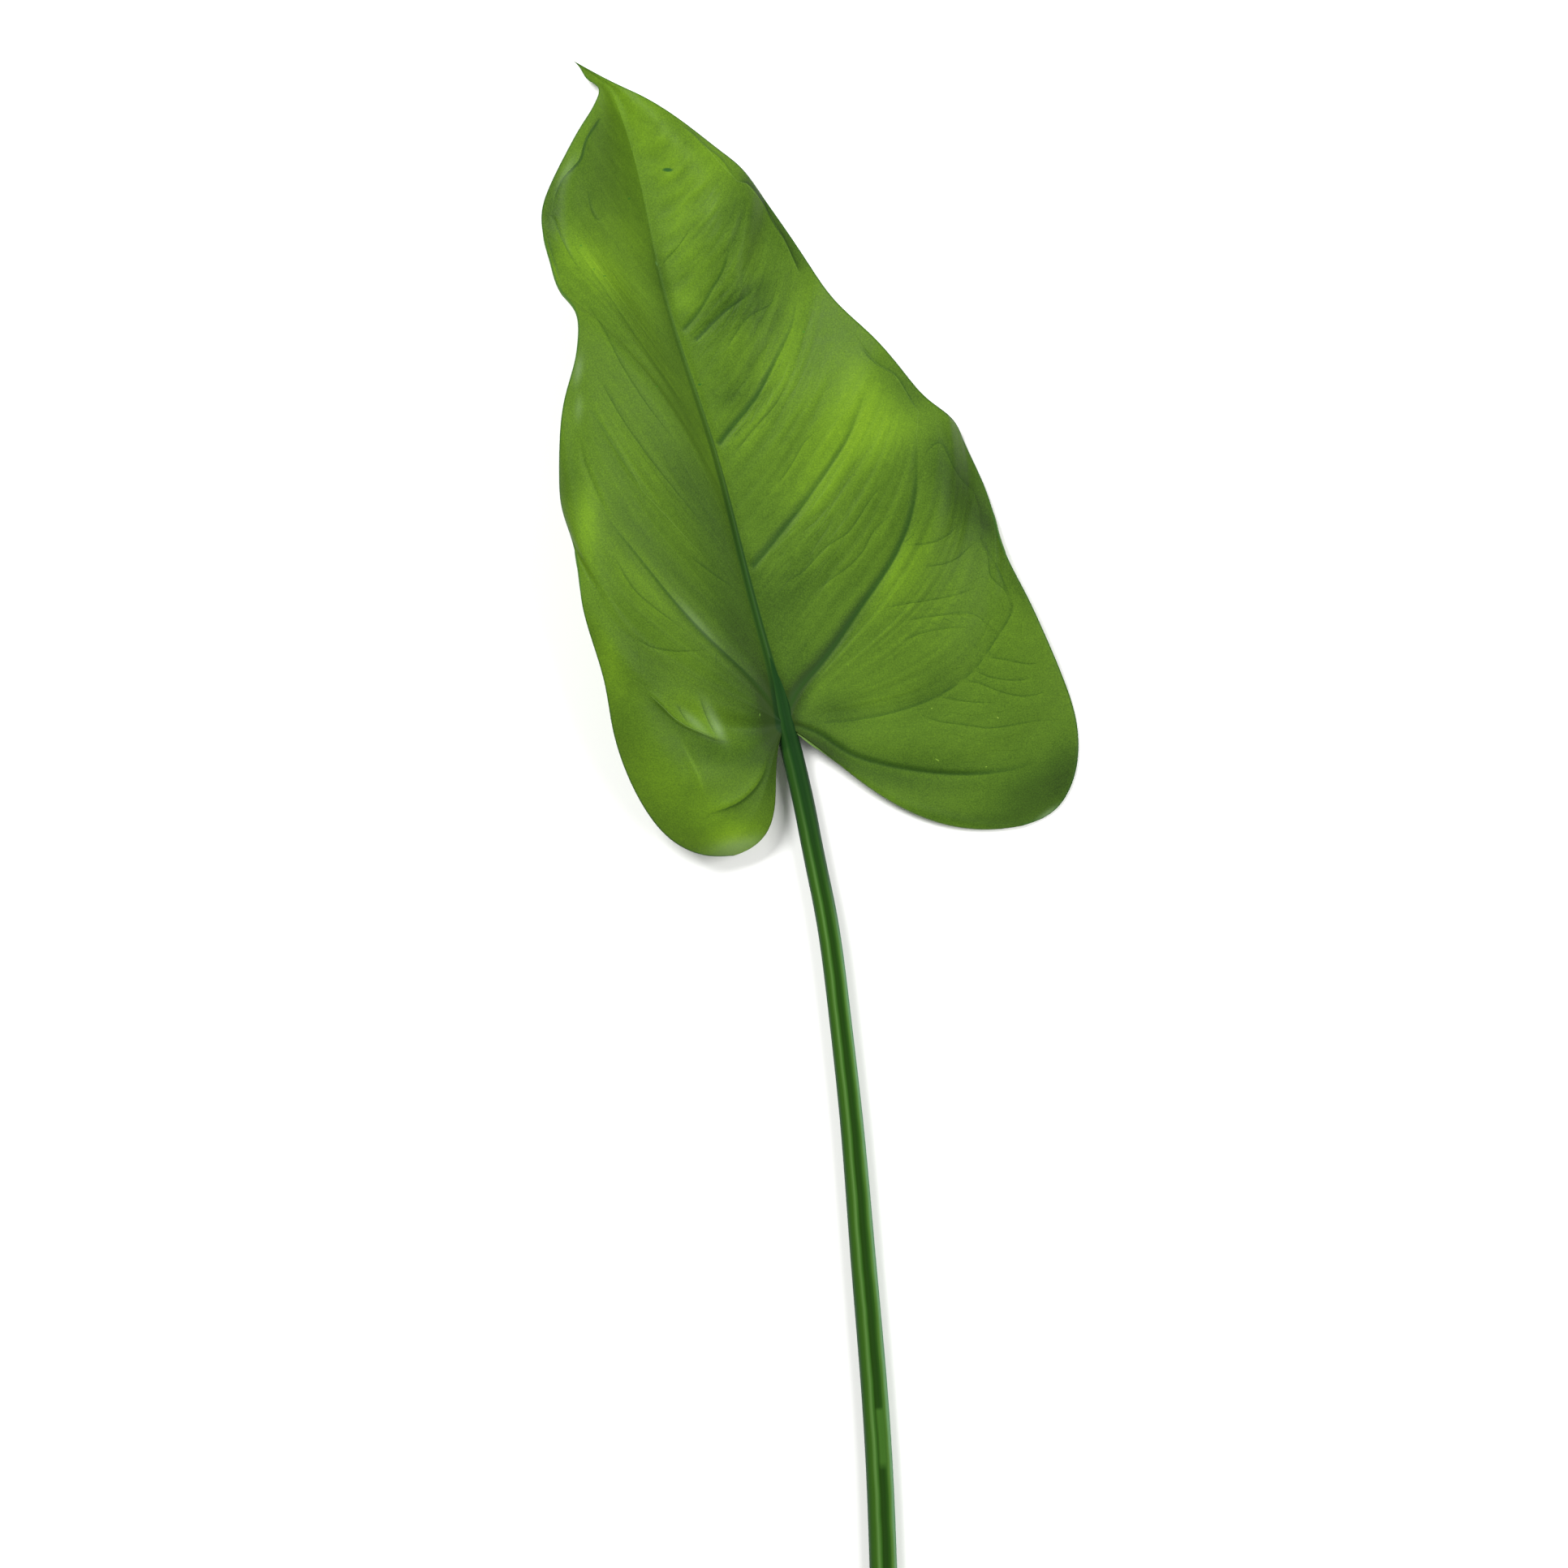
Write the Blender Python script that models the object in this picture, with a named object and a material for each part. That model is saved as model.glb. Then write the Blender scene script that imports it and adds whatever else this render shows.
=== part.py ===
"""Calla lily leaf with its cut stalk, lying on a flat surface with the upper face up.

The tip points to +Y, the stalk to -Y, and the surface is the plane Z = 0.
Sizes are in millimetres and the mesh is written in metres.
Plan positions are measured from the junction, where the stalk meets the blade.
"""

from dataclasses import dataclass

import bpy
import numpy as np

METRES = 0.001

# The junction in the plan of the finished leaf.
JUNCTION = np.array([-8.1, 40.1, 0.0])

# Thickness of the blade beside the midrib, across most of it, and at its edge.
THICK_AT_MIDRIB = 1.3
THICK_ACROSS = 0.85
THICK_AT_EDGE = 0.65

# Depth and half width of the groove over the midrib, and of the furrows over the side veins.
GROOVE_DEPTH = 0.7
GROOVE_HALF_WIDTH = 1.8
FURROW_DEPTH = 0.5
FURROW_HALF_WIDTH = 1.6
RIB_UNDER_VEIN = 0.45

# Height of the soft swelling between one side vein and the next.
SWELLING = 0.7

# The rim turns down from here outwards, as a share of the way out.
RIM_START = 0.84

# Nearer than this to the junction and the tip, the two faces keep one direction between them.
EVEN_ROUND_JUNCTION = 22.0
EVEN_ROUND_TIP = 12.0

# The blade is pressed flat where it would dip further than this under the surface.
SOFT_CONTACT = 0.8

# Spacing of the rows along the midrib and in the fan round the junction. Each strong side vein
# has a row on it and one close by on either side.
MIDRIB_STEP = 0.035
FAN_STEP = 0.06
BESIDE_VEIN_ON_MIDRIB = 0.011
BESIDE_VEIN_IN_FAN = 0.02

# Columns across one half.
COLUMNS = 14

# Midrib from the tip to the junction: across, along and height.
MIDRIB = (
    (-65.2, 204.4, 3.0),
    (-60.4, 200.9, 2.2),
    (-54.6, 196.3, 1.9),
    (-51.0, 189.0, 2.0),
    (-48.3, 181.0, 2.4),
    (-43.3, 161.5, 3.7),
    (-38.2, 137.5, 5.3),
    (-30.5, 111.5, 6.8),
    (-21.2, 83.0, 8.0),
    (-14.5, 57.5, 8.7),
    (-7.6, 31.0, 9.1),
    (-3.0, 14.0, 9.1),
    (0.0, 0.0, 9.0),
)

# Stalk axis from the cut end to the junction: across, along, height and radius.
STALK = (
    (31.0, -284.7, 4.0, 4.2),
    (30.2, -257.0, 4.0, 4.2),
    (28.7, -222.0, 4.0, 4.1),
    (26.5, -192.0, 4.2, 4.0),
    (23.9, -162.0, 4.5, 3.85),
    (20.7, -124.0, 5.0, 3.55),
    (16.6, -87.0, 5.6, 3.35),
    (12.4, -57.0, 5.9, 3.3),
    (9.2, -41.5, 5.8, 3.25),
    (5.3, -21.8, 5.5, 3.25),
    (1.9, -7.5, 5.4, 3.2),
)
STALK_SIDES = 16
STALK_RINGS = 30

# The ridge under the midrib runs on from the stalk and thins towards the tip.
RIDGE_RINGS = 24
RIDGE_END = 0.12
RIDGE_AT_JUNCTION = 3.1
RIDGE_AT_TIP = 0.6
RIDGE_BELOW_FACE = 0.55

# The outer edge of each half, from the tip to the end of its lobe.
RIGHT_EDGE = (
    (-65.2, 204.4),
    (-56.4, 199.6),
    (-50.0, 196.4),
    (-44.2, 193.6),
    (-31.8, 185.8),
    (-19.2, 176.1),
    (-13.4, 171.3),
    (-9.6, 166.6),
    (-5.8, 161.2),
    (-0.2, 153.2),
    (7.8, 141.2),
    (14.8, 131.2),
    (26.7, 119.5),
    (36.5, 108.2),
    (43.9, 99.9),
    (50.2, 95.2),
    (52.4, 93.0),
    (54.8, 88.2),
    (60.5, 75.7),
    (64.2, 65.0),
    (66.0, 57.5),
    (67.8, 52.7),
    (73.8, 40.9),
    (79.8, 28.2),
    (85.7, 14.3),
    (89.5, 2.5),
    (90.4, -7.8),
    (88.7, -17.3),
    (83.5, -25.8),
    (73.2, -31.0),
)
LEFT_EDGE = (
    (-65.2, 204.4),
    (-63.0, 202.0),
    (-60.9, 198.7),
    (-57.4, 195.8),
    (-58.0, 191.6),
    (-62.5, 183.2),
    (-67.2, 174.2),
    (-71.9, 164.4),
    (-74.2, 157.0),
    (-73.8, 149.5),
    (-71.8, 142.0),
    (-68.2, 131.8),
    (-63.9, 126.2),
    (-62.7, 118.5),
    (-63.8, 110.5),
    (-67.0, 98.7),
    (-68.6, 83.0),
    (-68.7, 76.0),
    (-67.9, 65.7),
    (-65.0, 56.5),
    (-63.0, 48.0),
    (-61.7, 37.0),
    (-58.7, 25.5),
    (-54.7, 11.5),
    (-52.6, -1.0),
    (-49.5, -12.0),
    (-43.5, -24.8),
    (-34.0, -36.0),
    (-23.5, -40.3),
    (-15.8, -40.3),
)


@dataclass(frozen=True)
class Row:
    """A line across one half of the blade, from the midrib to the outer edge.

    start: 0 at the tip, 1 at the junction, then on to 2 through the fan round the junction.
    end: place on the outer edge, counted in its points.
    bow: how far the line bends towards the lobe, as a share of its length.
    lean: where the bend is deepest, as a share of the way out.
    turn: how far the outermost rim turns down.
    heights: height of the blade at a quarter, half, three quarters and all of the way out.
    """

    start: float
    end: float
    bow: float
    lean: float
    turn: float
    heights: tuple


RIGHT_ROWS = (
    Row(0.000, 0.0, 0.000, 0.50, 0.0, (3.0, 3.0, 3.0, 3.0)),
    Row(0.035, 1.0, 0.000, 0.50, 0.0, (2.2, 2.3, 2.3, 2.4)),
    Row(0.075, 2.0, 0.000, 0.50, 0.0, (2.0, 2.4, 2.8, 3.0)),
    Row(0.150, 3.6, 0.050, 0.50, 0.5, (3.8, 5.4, 6.2, 5.4)),
    Row(0.275, 5.2, 0.080, 0.50, 1.8, (6.4, 8.6, 9.4, 6.6)),
    Row(0.420, 7.0, 0.110, 0.48, 2.0, (8.4, 10.6, 9.8, 5.0)),
    Row(0.480, 8.4, 0.090, 0.50, 1.6, (8.4, 8.8, 4.6, 0.8)),
    Row(0.594, 9.9, 0.087, 0.50, 0.8, (8.0, 7.2, 4.6, 1.2)),
    Row(0.774, 12.4, 0.057, 0.58, 0.4, (8.0, 9.0, 11.4, 11.0)),
    Row(1.000, 14.2, 0.120, 0.62, 0.6, (7.6, 8.6, 11.6, 10.6)),
    Row(1.180, 17.5, 0.190, 0.60, 0.8, (6.6, 6.0, 5.0, 1.8)),
    Row(1.340, 21.3, 0.240, 0.60, 0.3, (5.6, 4.0, 3.8, 5.6)),
    Row(1.500, 23.3, 0.210, 0.59, 0.3, (5.4, 3.4, 2.6, 4.2)),
    Row(1.650, 25.3, 0.175, 0.58, 0.0, (5.4, 2.6, 0.4, -0.2)),
    Row(1.820, 27.4, 0.150, 0.57, 0.0, (6.0, 3.0, 0.0, -0.2)),
    Row(2.000, 29.0, 0.130, 0.57, 0.0, (6.8, 5.0, 2.6, 1.0)),
)
LEFT_ROWS = (
    Row(0.000, 0.0, 0.000, 0.50, 0.0, (3.0, 3.0, 3.0, 3.0)),
    Row(0.035, 1.3, 0.000, 0.50, 0.0, (2.2, 2.4, 2.6, 2.8)),
    Row(0.075, 3.0, 0.000, 0.50, 0.0, (2.6, 3.6, 4.6, 5.2)),
    Row(0.150, 4.1, 0.020, 0.50, 1.0, (5.2, 8.0, 10.4, 11.0)),
    Row(0.275, 5.0, 0.030, 0.50, 2.4, (9.0, 13.6, 17.4, 18.4)),
    Row(0.420, 6.4, 0.030, 0.50, 3.0, (12.4, 18.6, 23.4, 24.0)),
    Row(0.594, 8.2, -0.030, 0.50, 2.6, (14.6, 22.4, 27.6, 25.6)),
    Row(0.700, 11.4, -0.070, 0.55, 0.8, (16.4, 25.0, 31.4, 35.8)),
    Row(0.820, 13.6, 0.020, 0.55, 0.2, (17.6, 27.0, 33.8, 37.6)),
    Row(1.000, 15.2, 0.070, 0.62, 1.0, (19.0, 29.6, 36.6, 37.4)),
    Row(1.180, 18.6, 0.090, 0.60, 1.4, (19.4, 30.6, 38.0, 34.4)),
    Row(1.340, 20.8, 0.100, 0.55, 0.4, (18.2, 28.4, 36.6, 38.8)),
    Row(1.500, 23.0, 0.120, 0.50, 0.4, (13.4, 22.0, 30.0, 32.6)),
    Row(1.650, 25.2, 0.120, 0.52, 0.6, (14.0, 20.6, 23.8, 22.4)),
    Row(1.820, 27.3, 0.120, 0.60, 0.8, (11.4, 14.0, 14.8, 12.6)),
    Row(2.000, 29.0, 0.165, 0.70, 0.6, (8.8, 8.4, 7.8, 7.0)),
)

# Rows that carry a strong side vein, by where they start, and how strong each vein is.
RIGHT_VEINS = {0.275: 0.3, 0.42: 0.6, 0.594: 0.7, 0.774: 0.9, 1.0: 1.2, 1.34: 0.5, 1.65: 0.8}
LEFT_VEINS = {0.275: 0.2, 0.42: 0.3, 0.594: 0.5, 0.82: 0.6, 1.0: 1.0, 1.34: 0.4, 1.5: 1.3}

QUARTERS = np.linspace(0.0, 1.0, 5)


def flowing_slopes(knots, values):
    """Slopes of the natural cubic curve through the values."""
    count = len(knots)
    step = np.diff(knots)
    rise = np.diff(values, axis=0) / step[:, None]
    matrix = np.zeros((count, count))
    right = np.zeros(values.shape)
    matrix[0, :2] = 2.0, 1.0
    matrix[-1, -2:] = 1.0, 2.0
    right[0] = 3.0 * rise[0]
    right[-1] = 3.0 * rise[-1]
    for i in range(1, count - 1):
        matrix[i, i - 1 : i + 2] = step[i], 2.0 * (step[i - 1] + step[i]), step[i - 1]
        right[i] = 3.0 * (step[i] * rise[i - 1] + step[i - 1] * rise[i])
    return np.linalg.solve(matrix, right)


def steady_slopes(knots, values):
    """Slopes of a curve through the values that never swings past them."""
    step = np.diff(knots)[:, None]
    rise = np.diff(values, axis=0) / step
    slopes = np.zeros(values.shape)
    slopes[0] = rise[0]
    slopes[-1] = rise[-1]
    before = 2.0 * step[1:] + step[:-1]
    after = step[1:] + 2.0 * step[:-1]
    same_way = rise[:-1] * rise[1:] > 0.0
    low = np.where(same_way, rise[:-1], 1.0)
    high = np.where(same_way, rise[1:], 1.0)
    slopes[1:-1] = np.where(same_way, (before + after) / (before / low + after / high), 0.0)
    return slopes


def follow(knots, values, slopes, places):
    """Points of the curve at the places, each between the first knot and the last."""
    places = np.clip(places, knots[0], knots[-1])
    i = np.clip(np.searchsorted(knots, places, side="right") - 1, 0, len(knots) - 2)
    step = (knots[i + 1] - knots[i])[:, None]
    t = (places - knots[i])[:, None] / step
    near = (1.0 + 2.0 * t) * (1.0 - t) ** 2 * values[i] + t * (1.0 - t) ** 2 * step * slopes[i]
    far = t * t * (3.0 - 2.0 * t) * values[i + 1] + t * t * (t - 1.0) * step * slopes[i + 1]
    return near + far


class Path:
    """A flowing curve through points, asked for by share of its length or by point number."""

    def __init__(self, points):
        self.points = np.array(points, float)
        chords = np.linalg.norm(np.diff(self.points[:, :2], axis=0), axis=1)
        self.knots = np.concatenate([[0.0], np.cumsum(chords)])
        self.slopes = flowing_slopes(self.knots, self.points)

    def at_share(self, shares):
        return follow(self.knots, self.points, self.slopes, shares * self.knots[-1])

    def at_point(self, numbers):
        places = np.interp(numbers, np.arange(len(self.knots)), self.knots)
        return follow(self.knots, self.points, self.slopes, places)


class Half:
    """One half of the blade. side is 1 on the right of the midrib and -1 on the left."""

    def __init__(self, edge, rows, veins, side):
        self.midrib = Path(MIDRIB)
        self.edge = Path(edge)
        self.veins = np.array(list(veins))
        self.strengths = np.array(list(veins.values()))
        self.side = side
        self.starts = np.array([row.start for row in rows])
        measures = [(row.end, row.bow, row.lean, row.turn, *row.heights) for row in rows]
        self.table = np.array(measures)
        self.slopes = steady_slopes(self.starts, self.table)

    def plain(self, starts, outs):
        """Grid of points on the upper face before grooves, furrows and swellings."""
        base = self.midrib.at_share(np.minimum(starts, 1.0))
        row = follow(self.starts, self.table, self.slopes, starts)
        chord = (self.edge.at_point(row[:, 0]) - base[:, :2])[:, None, :]
        across = np.stack([chord[..., 1], -chord[..., 0]], axis=2) * self.side
        power = (row[:, 2] / (1.0 - row[:, 2]))[:, None]
        deepest = power / (1.0 + power)
        bend = outs**power * (1.0 - outs) / (deepest**power * (1.0 - deepest))
        bend = bend * row[:, 1][:, None]
        plan = base[:, None, :2] + chord * outs[:, None] + across * bend[..., None]
        heights = np.column_stack([base[:, 2], row[:, 4:]]).T
        slopes = flowing_slopes(QUARTERS, heights)
        height = follow(QUARTERS, heights, slopes, outs).T
        height -= row[:, 3][:, None] * np.clip((outs - RIM_START) / (1.0 - RIM_START), 0.0, 1.0) ** 2
        return np.concatenate([plan, height[..., None]], axis=2)

    def near_vein(self, starts, outs):
        """The strength of a strong side vein on its row, falling to nothing beside it."""
        here = self.plain(starts, outs)[:, None, :, :2]
        vein = self.plain(self.veins, outs)[None, :, :, :2]
        along = np.gradient(vein, axis=2)
        along /= np.linalg.norm(along, axis=3, keepdims=True)
        apart = here - vein
        aside = np.abs(apart[..., 0] * along[..., 1] - apart[..., 1] * along[..., 0])
        share = np.exp(-((aside / FURROW_HALF_WIDTH) ** 2))
        return (share * self.strengths[:, None]).max(axis=1)

    def between_veins(self, starts):
        """One midway between two strong side veins and nothing on them."""
        numbers = np.interp(starts, self.veins, np.arange(len(self.veins)))
        return np.sin(np.pi * numbers) ** 2

    def upper(self, starts, outs):
        """Grid of points on the finished upper face."""
        points = self.plain(starts, outs)
        grown = np.clip(starts / 0.15, 0.0, 1.0)[:, None]
        on_midrib = np.clip((1.1 - starts) / 0.1, 0.0, 1.0)[:, None]
        aside = np.linalg.norm(points[:, :, :2] - points[:, :1, :2], axis=2)
        groove = np.exp(-((aside / GROOVE_HALF_WIDTH) ** 2)) * on_midrib
        inside = np.clip(outs * 6.0, 0.0, 1.0) * np.clip((1.0 - outs) * 4.0, 0.0, 1.0)
        furrow = self.near_vein(starts, outs) * inside
        swell = self.between_veins(starts)[:, None] * np.sin(np.pi * outs) ** 2
        relief = SWELLING * swell - GROOVE_DEPTH * groove - FURROW_DEPTH * furrow
        points[:, :, 2] += grown * relief
        return points

    def thickness(self, starts, outs):
        """Thickness of the blade, with a rib under each strong side vein."""
        grown = np.clip(starts / 0.2, 0.0, 1.0)[:, None]
        full = (THICK_AT_MIDRIB, THICK_ACROSS, THICK_ACROSS, THICK_AT_EDGE)
        body = np.interp(outs, (0.0, 0.18, 0.85, 1.0), full)
        rib = RIB_UNDER_VEIN * self.near_vein(starts, outs) * np.clip((1.0 - outs) * 1.6, 0.0, 1.0)
        return THICK_AT_EDGE + (body + rib - THICK_AT_EDGE) * grown


def spread_rows():
    """Where the rows begin: on and beside each strong vein, and evenly between."""
    fixed = {0.0, 0.02, 2.0}
    for vein in {*RIGHT_VEINS, *LEFT_VEINS}:
        beside = BESIDE_VEIN_ON_MIDRIB if vein <= 1.0 else BESIDE_VEIN_IN_FAN
        after = BESIDE_VEIN_IN_FAN if vein >= 1.0 else beside
        fixed |= {vein - beside, vein, vein + after}
    fixed = sorted(fixed)
    starts = [fixed[0]]
    for low, high in zip(fixed, fixed[1:]):
        step = MIDRIB_STEP if high <= 1.0 else FAN_STEP
        parts = max(1, round((high - low) / step))
        starts += [low + (high - low) * (i + 1) / parts for i in range(parts)]
    return np.array(starts)


def spread_columns():
    """How far out the columns stand, closer together at the midrib and at the edge."""
    even = np.linspace(0.0, 1.0, COLUMNS)
    return even - 0.05 * np.sin(2.0 * np.pi * even)


def grid_numbers(starts, first):
    """Vertex numbers of one half's grid. The midrib is shared, and each end is one vertex."""
    on_midrib = int((starts <= 1.0).sum())
    rows = len(starts)
    numbers = np.zeros((rows, COLUMNS), int)
    numbers[:, 0] = np.minimum(np.arange(rows), on_midrib - 1)
    inner = np.arange((rows - 1) * (COLUMNS - 1)).reshape(rows - 1, COLUMNS - 1)
    numbers[1:, 1:] = first + inner
    return numbers


def grid_triangles(numbers, side):
    """Triangles of one half's upper face, facing up."""
    near = numbers[:-1, :-1]
    below = numbers[1:, :-1]
    far = numbers[1:, 1:]
    above = numbers[:-1, 1:]
    pairs = [(near, below, far), (near, far, above)]
    triangles = np.concatenate([np.stack(pair, axis=2).reshape(-1, 3) for pair in pairs])
    if side < 0.0:
        triangles = triangles[:, ::-1]
    whole = (triangles != np.roll(triangles, 1, axis=1)).all(axis=1)
    return triangles[whole]


def vertex_normals(points, triangles):
    corners = points[triangles]
    faces = np.cross(corners[:, 1] - corners[:, 0], corners[:, 2] - corners[:, 0])
    normals = np.zeros(points.shape)
    for i in range(3):
        np.add.at(normals, triangles[:, i], faces)
    return normals / np.linalg.norm(normals, axis=1, keepdims=True)


def inward(points, triangles, junction):
    """Directions from the upper face to the lower, evened out at the tip and the junction."""
    normals = vertex_normals(points, triangles)
    from_junction = np.linalg.norm(points - points[junction], axis=1)[:, None]
    near = np.clip(1.0 - from_junction / EVEN_ROUND_JUNCTION, 0.0, 1.0)
    normals += (normals[junction] - normals) * near
    from_tip = np.linalg.norm(points - points[0], axis=1)[:, None]
    near = np.clip(2.0 - from_tip / EVEN_ROUND_TIP, 0.0, 1.0)
    normals += (np.array([0.0, 0.0, 1.0]) - normals) * near
    return -normals / np.linalg.norm(normals, axis=1, keepdims=True)


def rim(triangles):
    """Sides that only one triangle has, each in that triangle's direction."""
    sides = np.concatenate([triangles[:, [0, 1]], triangles[:, [1, 2]], triangles[:, [2, 0]]])
    own = {tuple(side) for side in sides.tolist()}
    return np.array([side for side in own if side[::-1] not in own])


def lifted(lower):
    """How far the surface pushes points of the underside up."""
    height = lower[:, 2]
    pressed = (height + SOFT_CONTACT) ** 2 / (4.0 * SOFT_CONTACT)
    rest = np.where(height > SOFT_CONTACT, height, pressed)
    return np.where(height < -SOFT_CONTACT, 0.0, rest) - height


def blade():
    """The blade as a closed skin, with the same triangles on both faces."""
    starts = spread_rows()
    outs = spread_columns()
    halves = (
        Half(RIGHT_EDGE, RIGHT_ROWS, RIGHT_VEINS, 1.0),
        Half(LEFT_EDGE, LEFT_ROWS, LEFT_VEINS, -1.0),
    )
    spine = int((starts <= 1.0).sum())
    inner = (len(starts) - 1) * (COLUMNS - 1)
    upper = np.zeros((spine + 2 * inner, 3))
    depth = np.zeros(len(upper))
    triangles = []
    for place, half in enumerate(halves):
        numbers = grid_numbers(starts, spine + place * inner)
        upper[numbers] = half.upper(starts, outs)
        depth[numbers] = half.thickness(starts, outs)
        triangles.append(grid_triangles(numbers, half.side))
    triangles = np.concatenate(triangles)
    lower = upper + inward(upper, triangles, spine - 1) * depth[:, None]
    lift = lifted(lower)
    upper[:, 2] += lift
    lower[:, 2] += lift
    count = len(upper)
    edge = rim(triangles)
    band = np.column_stack([edge[:, 1], edge[:, 0], edge[:, 0] + count])
    band_below = np.column_stack([edge[:, 1], edge[:, 0] + count, edge[:, 1] + count])
    faces = np.concatenate([triangles, triangles[:, ::-1] + count, band, band_below])
    return np.concatenate([upper, lower]), faces


def stalk_axis():
    """Points and radii from the cut end of the stalk to the thin end of the ridge."""
    shares = np.linspace(1.0, RIDGE_END, RIDGE_RINGS)
    midrib = Path(MIDRIB).at_share(shares)
    grown = (shares - RIDGE_END) / (1.0 - RIDGE_END)
    radius = RIDGE_AT_TIP + (RIDGE_AT_JUNCTION - RIDGE_AT_TIP) * grown**2.2
    midrib[:, 2] -= GROOVE_DEPTH + RIDGE_BELOW_FACE + radius
    stalk = Path(STALK).at_share(np.linspace(0.0, 1.0, STALK_RINGS))
    return np.concatenate([stalk, np.column_stack([midrib, radius])])


def stalk():
    """The stalk and the ridge it runs on into, as one closed round bar."""
    axis = stalk_axis()
    ahead = np.gradient(axis[:, :3], axis=0)
    ahead /= np.linalg.norm(ahead, axis=1, keepdims=True)
    across = np.cross(ahead, (0.0, 0.0, 1.0))
    across /= np.linalg.norm(across, axis=1, keepdims=True)
    up = np.cross(across, ahead)
    turn = 2.0 * np.pi * (np.arange(STALK_SIDES) + 0.5) / STALK_SIDES
    ring = np.cos(turn)[:, None] * across[:, None] + np.sin(turn)[:, None] * up[:, None]
    points = axis[:, None, :3] + ring * axis[:, None, 3:]
    points[:, :, 2] = np.maximum(points[:, :, 2], 0.0)
    points = points.reshape(-1, 3)
    numbers = np.arange(len(points)).reshape(-1, STALK_SIDES)
    near, far = numbers[:-1], numbers[1:]
    near_next, far_next = np.roll(near, -1, axis=1), np.roll(far, -1, axis=1)
    walls = np.stack([near, far, far_next, near_next], axis=2).reshape(-1, 4).tolist()
    return points, walls + [numbers[0].tolist(), numbers[-1][::-1].tolist()]


def add_object(name, points, faces):
    data = bpy.data.meshes.new(name)
    data.from_pydata(((points + JUNCTION) * METRES).tolist(), [], faces)
    data.validate()
    obj = bpy.data.objects.new(name, data)
    bpy.context.scene.collection.objects.link(obj)
    return obj


def join(obj, other):
    """Fuses the other object into this one and removes it."""
    union = obj.modifiers.new("Union", "BOOLEAN")
    union.operation = "UNION"
    union.solver = "EXACT"
    union.object = other
    bpy.context.view_layer.objects.active = obj
    bpy.ops.object.modifier_apply(modifier=union.name)
    bpy.data.objects.remove(other, do_unlink=True)


def leaf_green():
    material = bpy.data.materials.new("Leaf green")
    material.use_nodes = True
    shader = material.node_tree.nodes["Principled BSDF"]
    shader.inputs["Base Color"].default_value = (0.13, 0.26, 0.03, 1.0)
    shader.inputs["Roughness"].default_value = 0.45
    return material


def main():
    for obj in list(bpy.data.objects):
        bpy.data.objects.remove(obj, do_unlink=True)
    points, faces = blade()
    leaf = add_object("leaf", points, faces.tolist())
    join(leaf, add_object("stalk", *stalk()))
    leaf.data.materials.clear()
    leaf.data.materials.append(leaf_green())
    leaf.data.shade_smooth()


main()
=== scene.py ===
"""Calla lily leaf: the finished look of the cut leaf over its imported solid.

The leaf lies with its upper face up, the tip towards +Y and the cut stalk towards -Y.
The tables are in millimetres, measured from the junction where the stalk meets the blade.
The meshes are written in metres.
"""

import logging
from collections.abc import Callable
from dataclasses import dataclass, field
from enum import Enum
from functools import partial

import bpy
import numpy as np
from bpy.types import Material, NodeOutputs, Object
from bpy.types import NodeSocket as Socket
from bpy.types import NodeTree as Tree
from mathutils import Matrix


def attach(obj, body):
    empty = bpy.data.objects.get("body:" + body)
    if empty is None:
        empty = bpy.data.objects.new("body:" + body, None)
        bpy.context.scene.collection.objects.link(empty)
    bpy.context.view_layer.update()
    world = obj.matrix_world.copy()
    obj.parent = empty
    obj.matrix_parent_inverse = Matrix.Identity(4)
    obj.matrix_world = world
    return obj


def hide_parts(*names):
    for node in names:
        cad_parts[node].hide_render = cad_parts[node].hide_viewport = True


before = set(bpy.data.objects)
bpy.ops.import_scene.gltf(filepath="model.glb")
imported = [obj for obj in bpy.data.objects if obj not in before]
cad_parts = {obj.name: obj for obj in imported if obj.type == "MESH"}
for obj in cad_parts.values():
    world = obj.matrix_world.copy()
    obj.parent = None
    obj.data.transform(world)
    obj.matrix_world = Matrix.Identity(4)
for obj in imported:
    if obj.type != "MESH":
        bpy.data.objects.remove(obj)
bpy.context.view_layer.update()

Array = np.ndarray
Adder = Callable[..., NodeOutputs]
log = logging.getLogger("calla_leaf")

METRES = 0.001
JUNCTION = np.array([-8.1, 40.1, 0.0])

# Midrib from the tip to the junction: across, along and height.
MIDRIB = (
    (-65.2, 204.4, 3.0), (-60.4, 200.9, 2.2), (-54.6, 196.3, 1.9), (-51.0, 189.0, 2.0),
    (-48.3, 181.0, 2.4), (-43.3, 161.5, 3.7), (-38.2, 137.5, 5.3), (-30.5, 111.5, 6.8),
    (-21.2, 83.0, 8.0), (-14.5, 57.5, 8.7), (-7.6, 31.0, 9.1), (-3.0, 14.0, 9.1), (0.0, 0.0, 9.0),
)

# Stalk axis from the cut end to the junction: across, along, height and radius.
STALK = (
    (31.0, -284.7, 4.0, 4.2), (30.2, -257.0, 4.0, 4.2), (28.7, -222.0, 4.0, 4.1),
    (26.5, -192.0, 4.2, 4.0), (23.9, -162.0, 4.5, 3.85), (20.7, -124.0, 5.0, 3.55),
    (16.6, -87.0, 5.6, 3.35), (12.4, -57.0, 5.9, 3.3), (9.2, -41.5, 5.8, 3.25),
    (5.3, -21.8, 5.5, 3.25), (1.9, -7.5, 5.4, 3.2),
)

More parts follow.
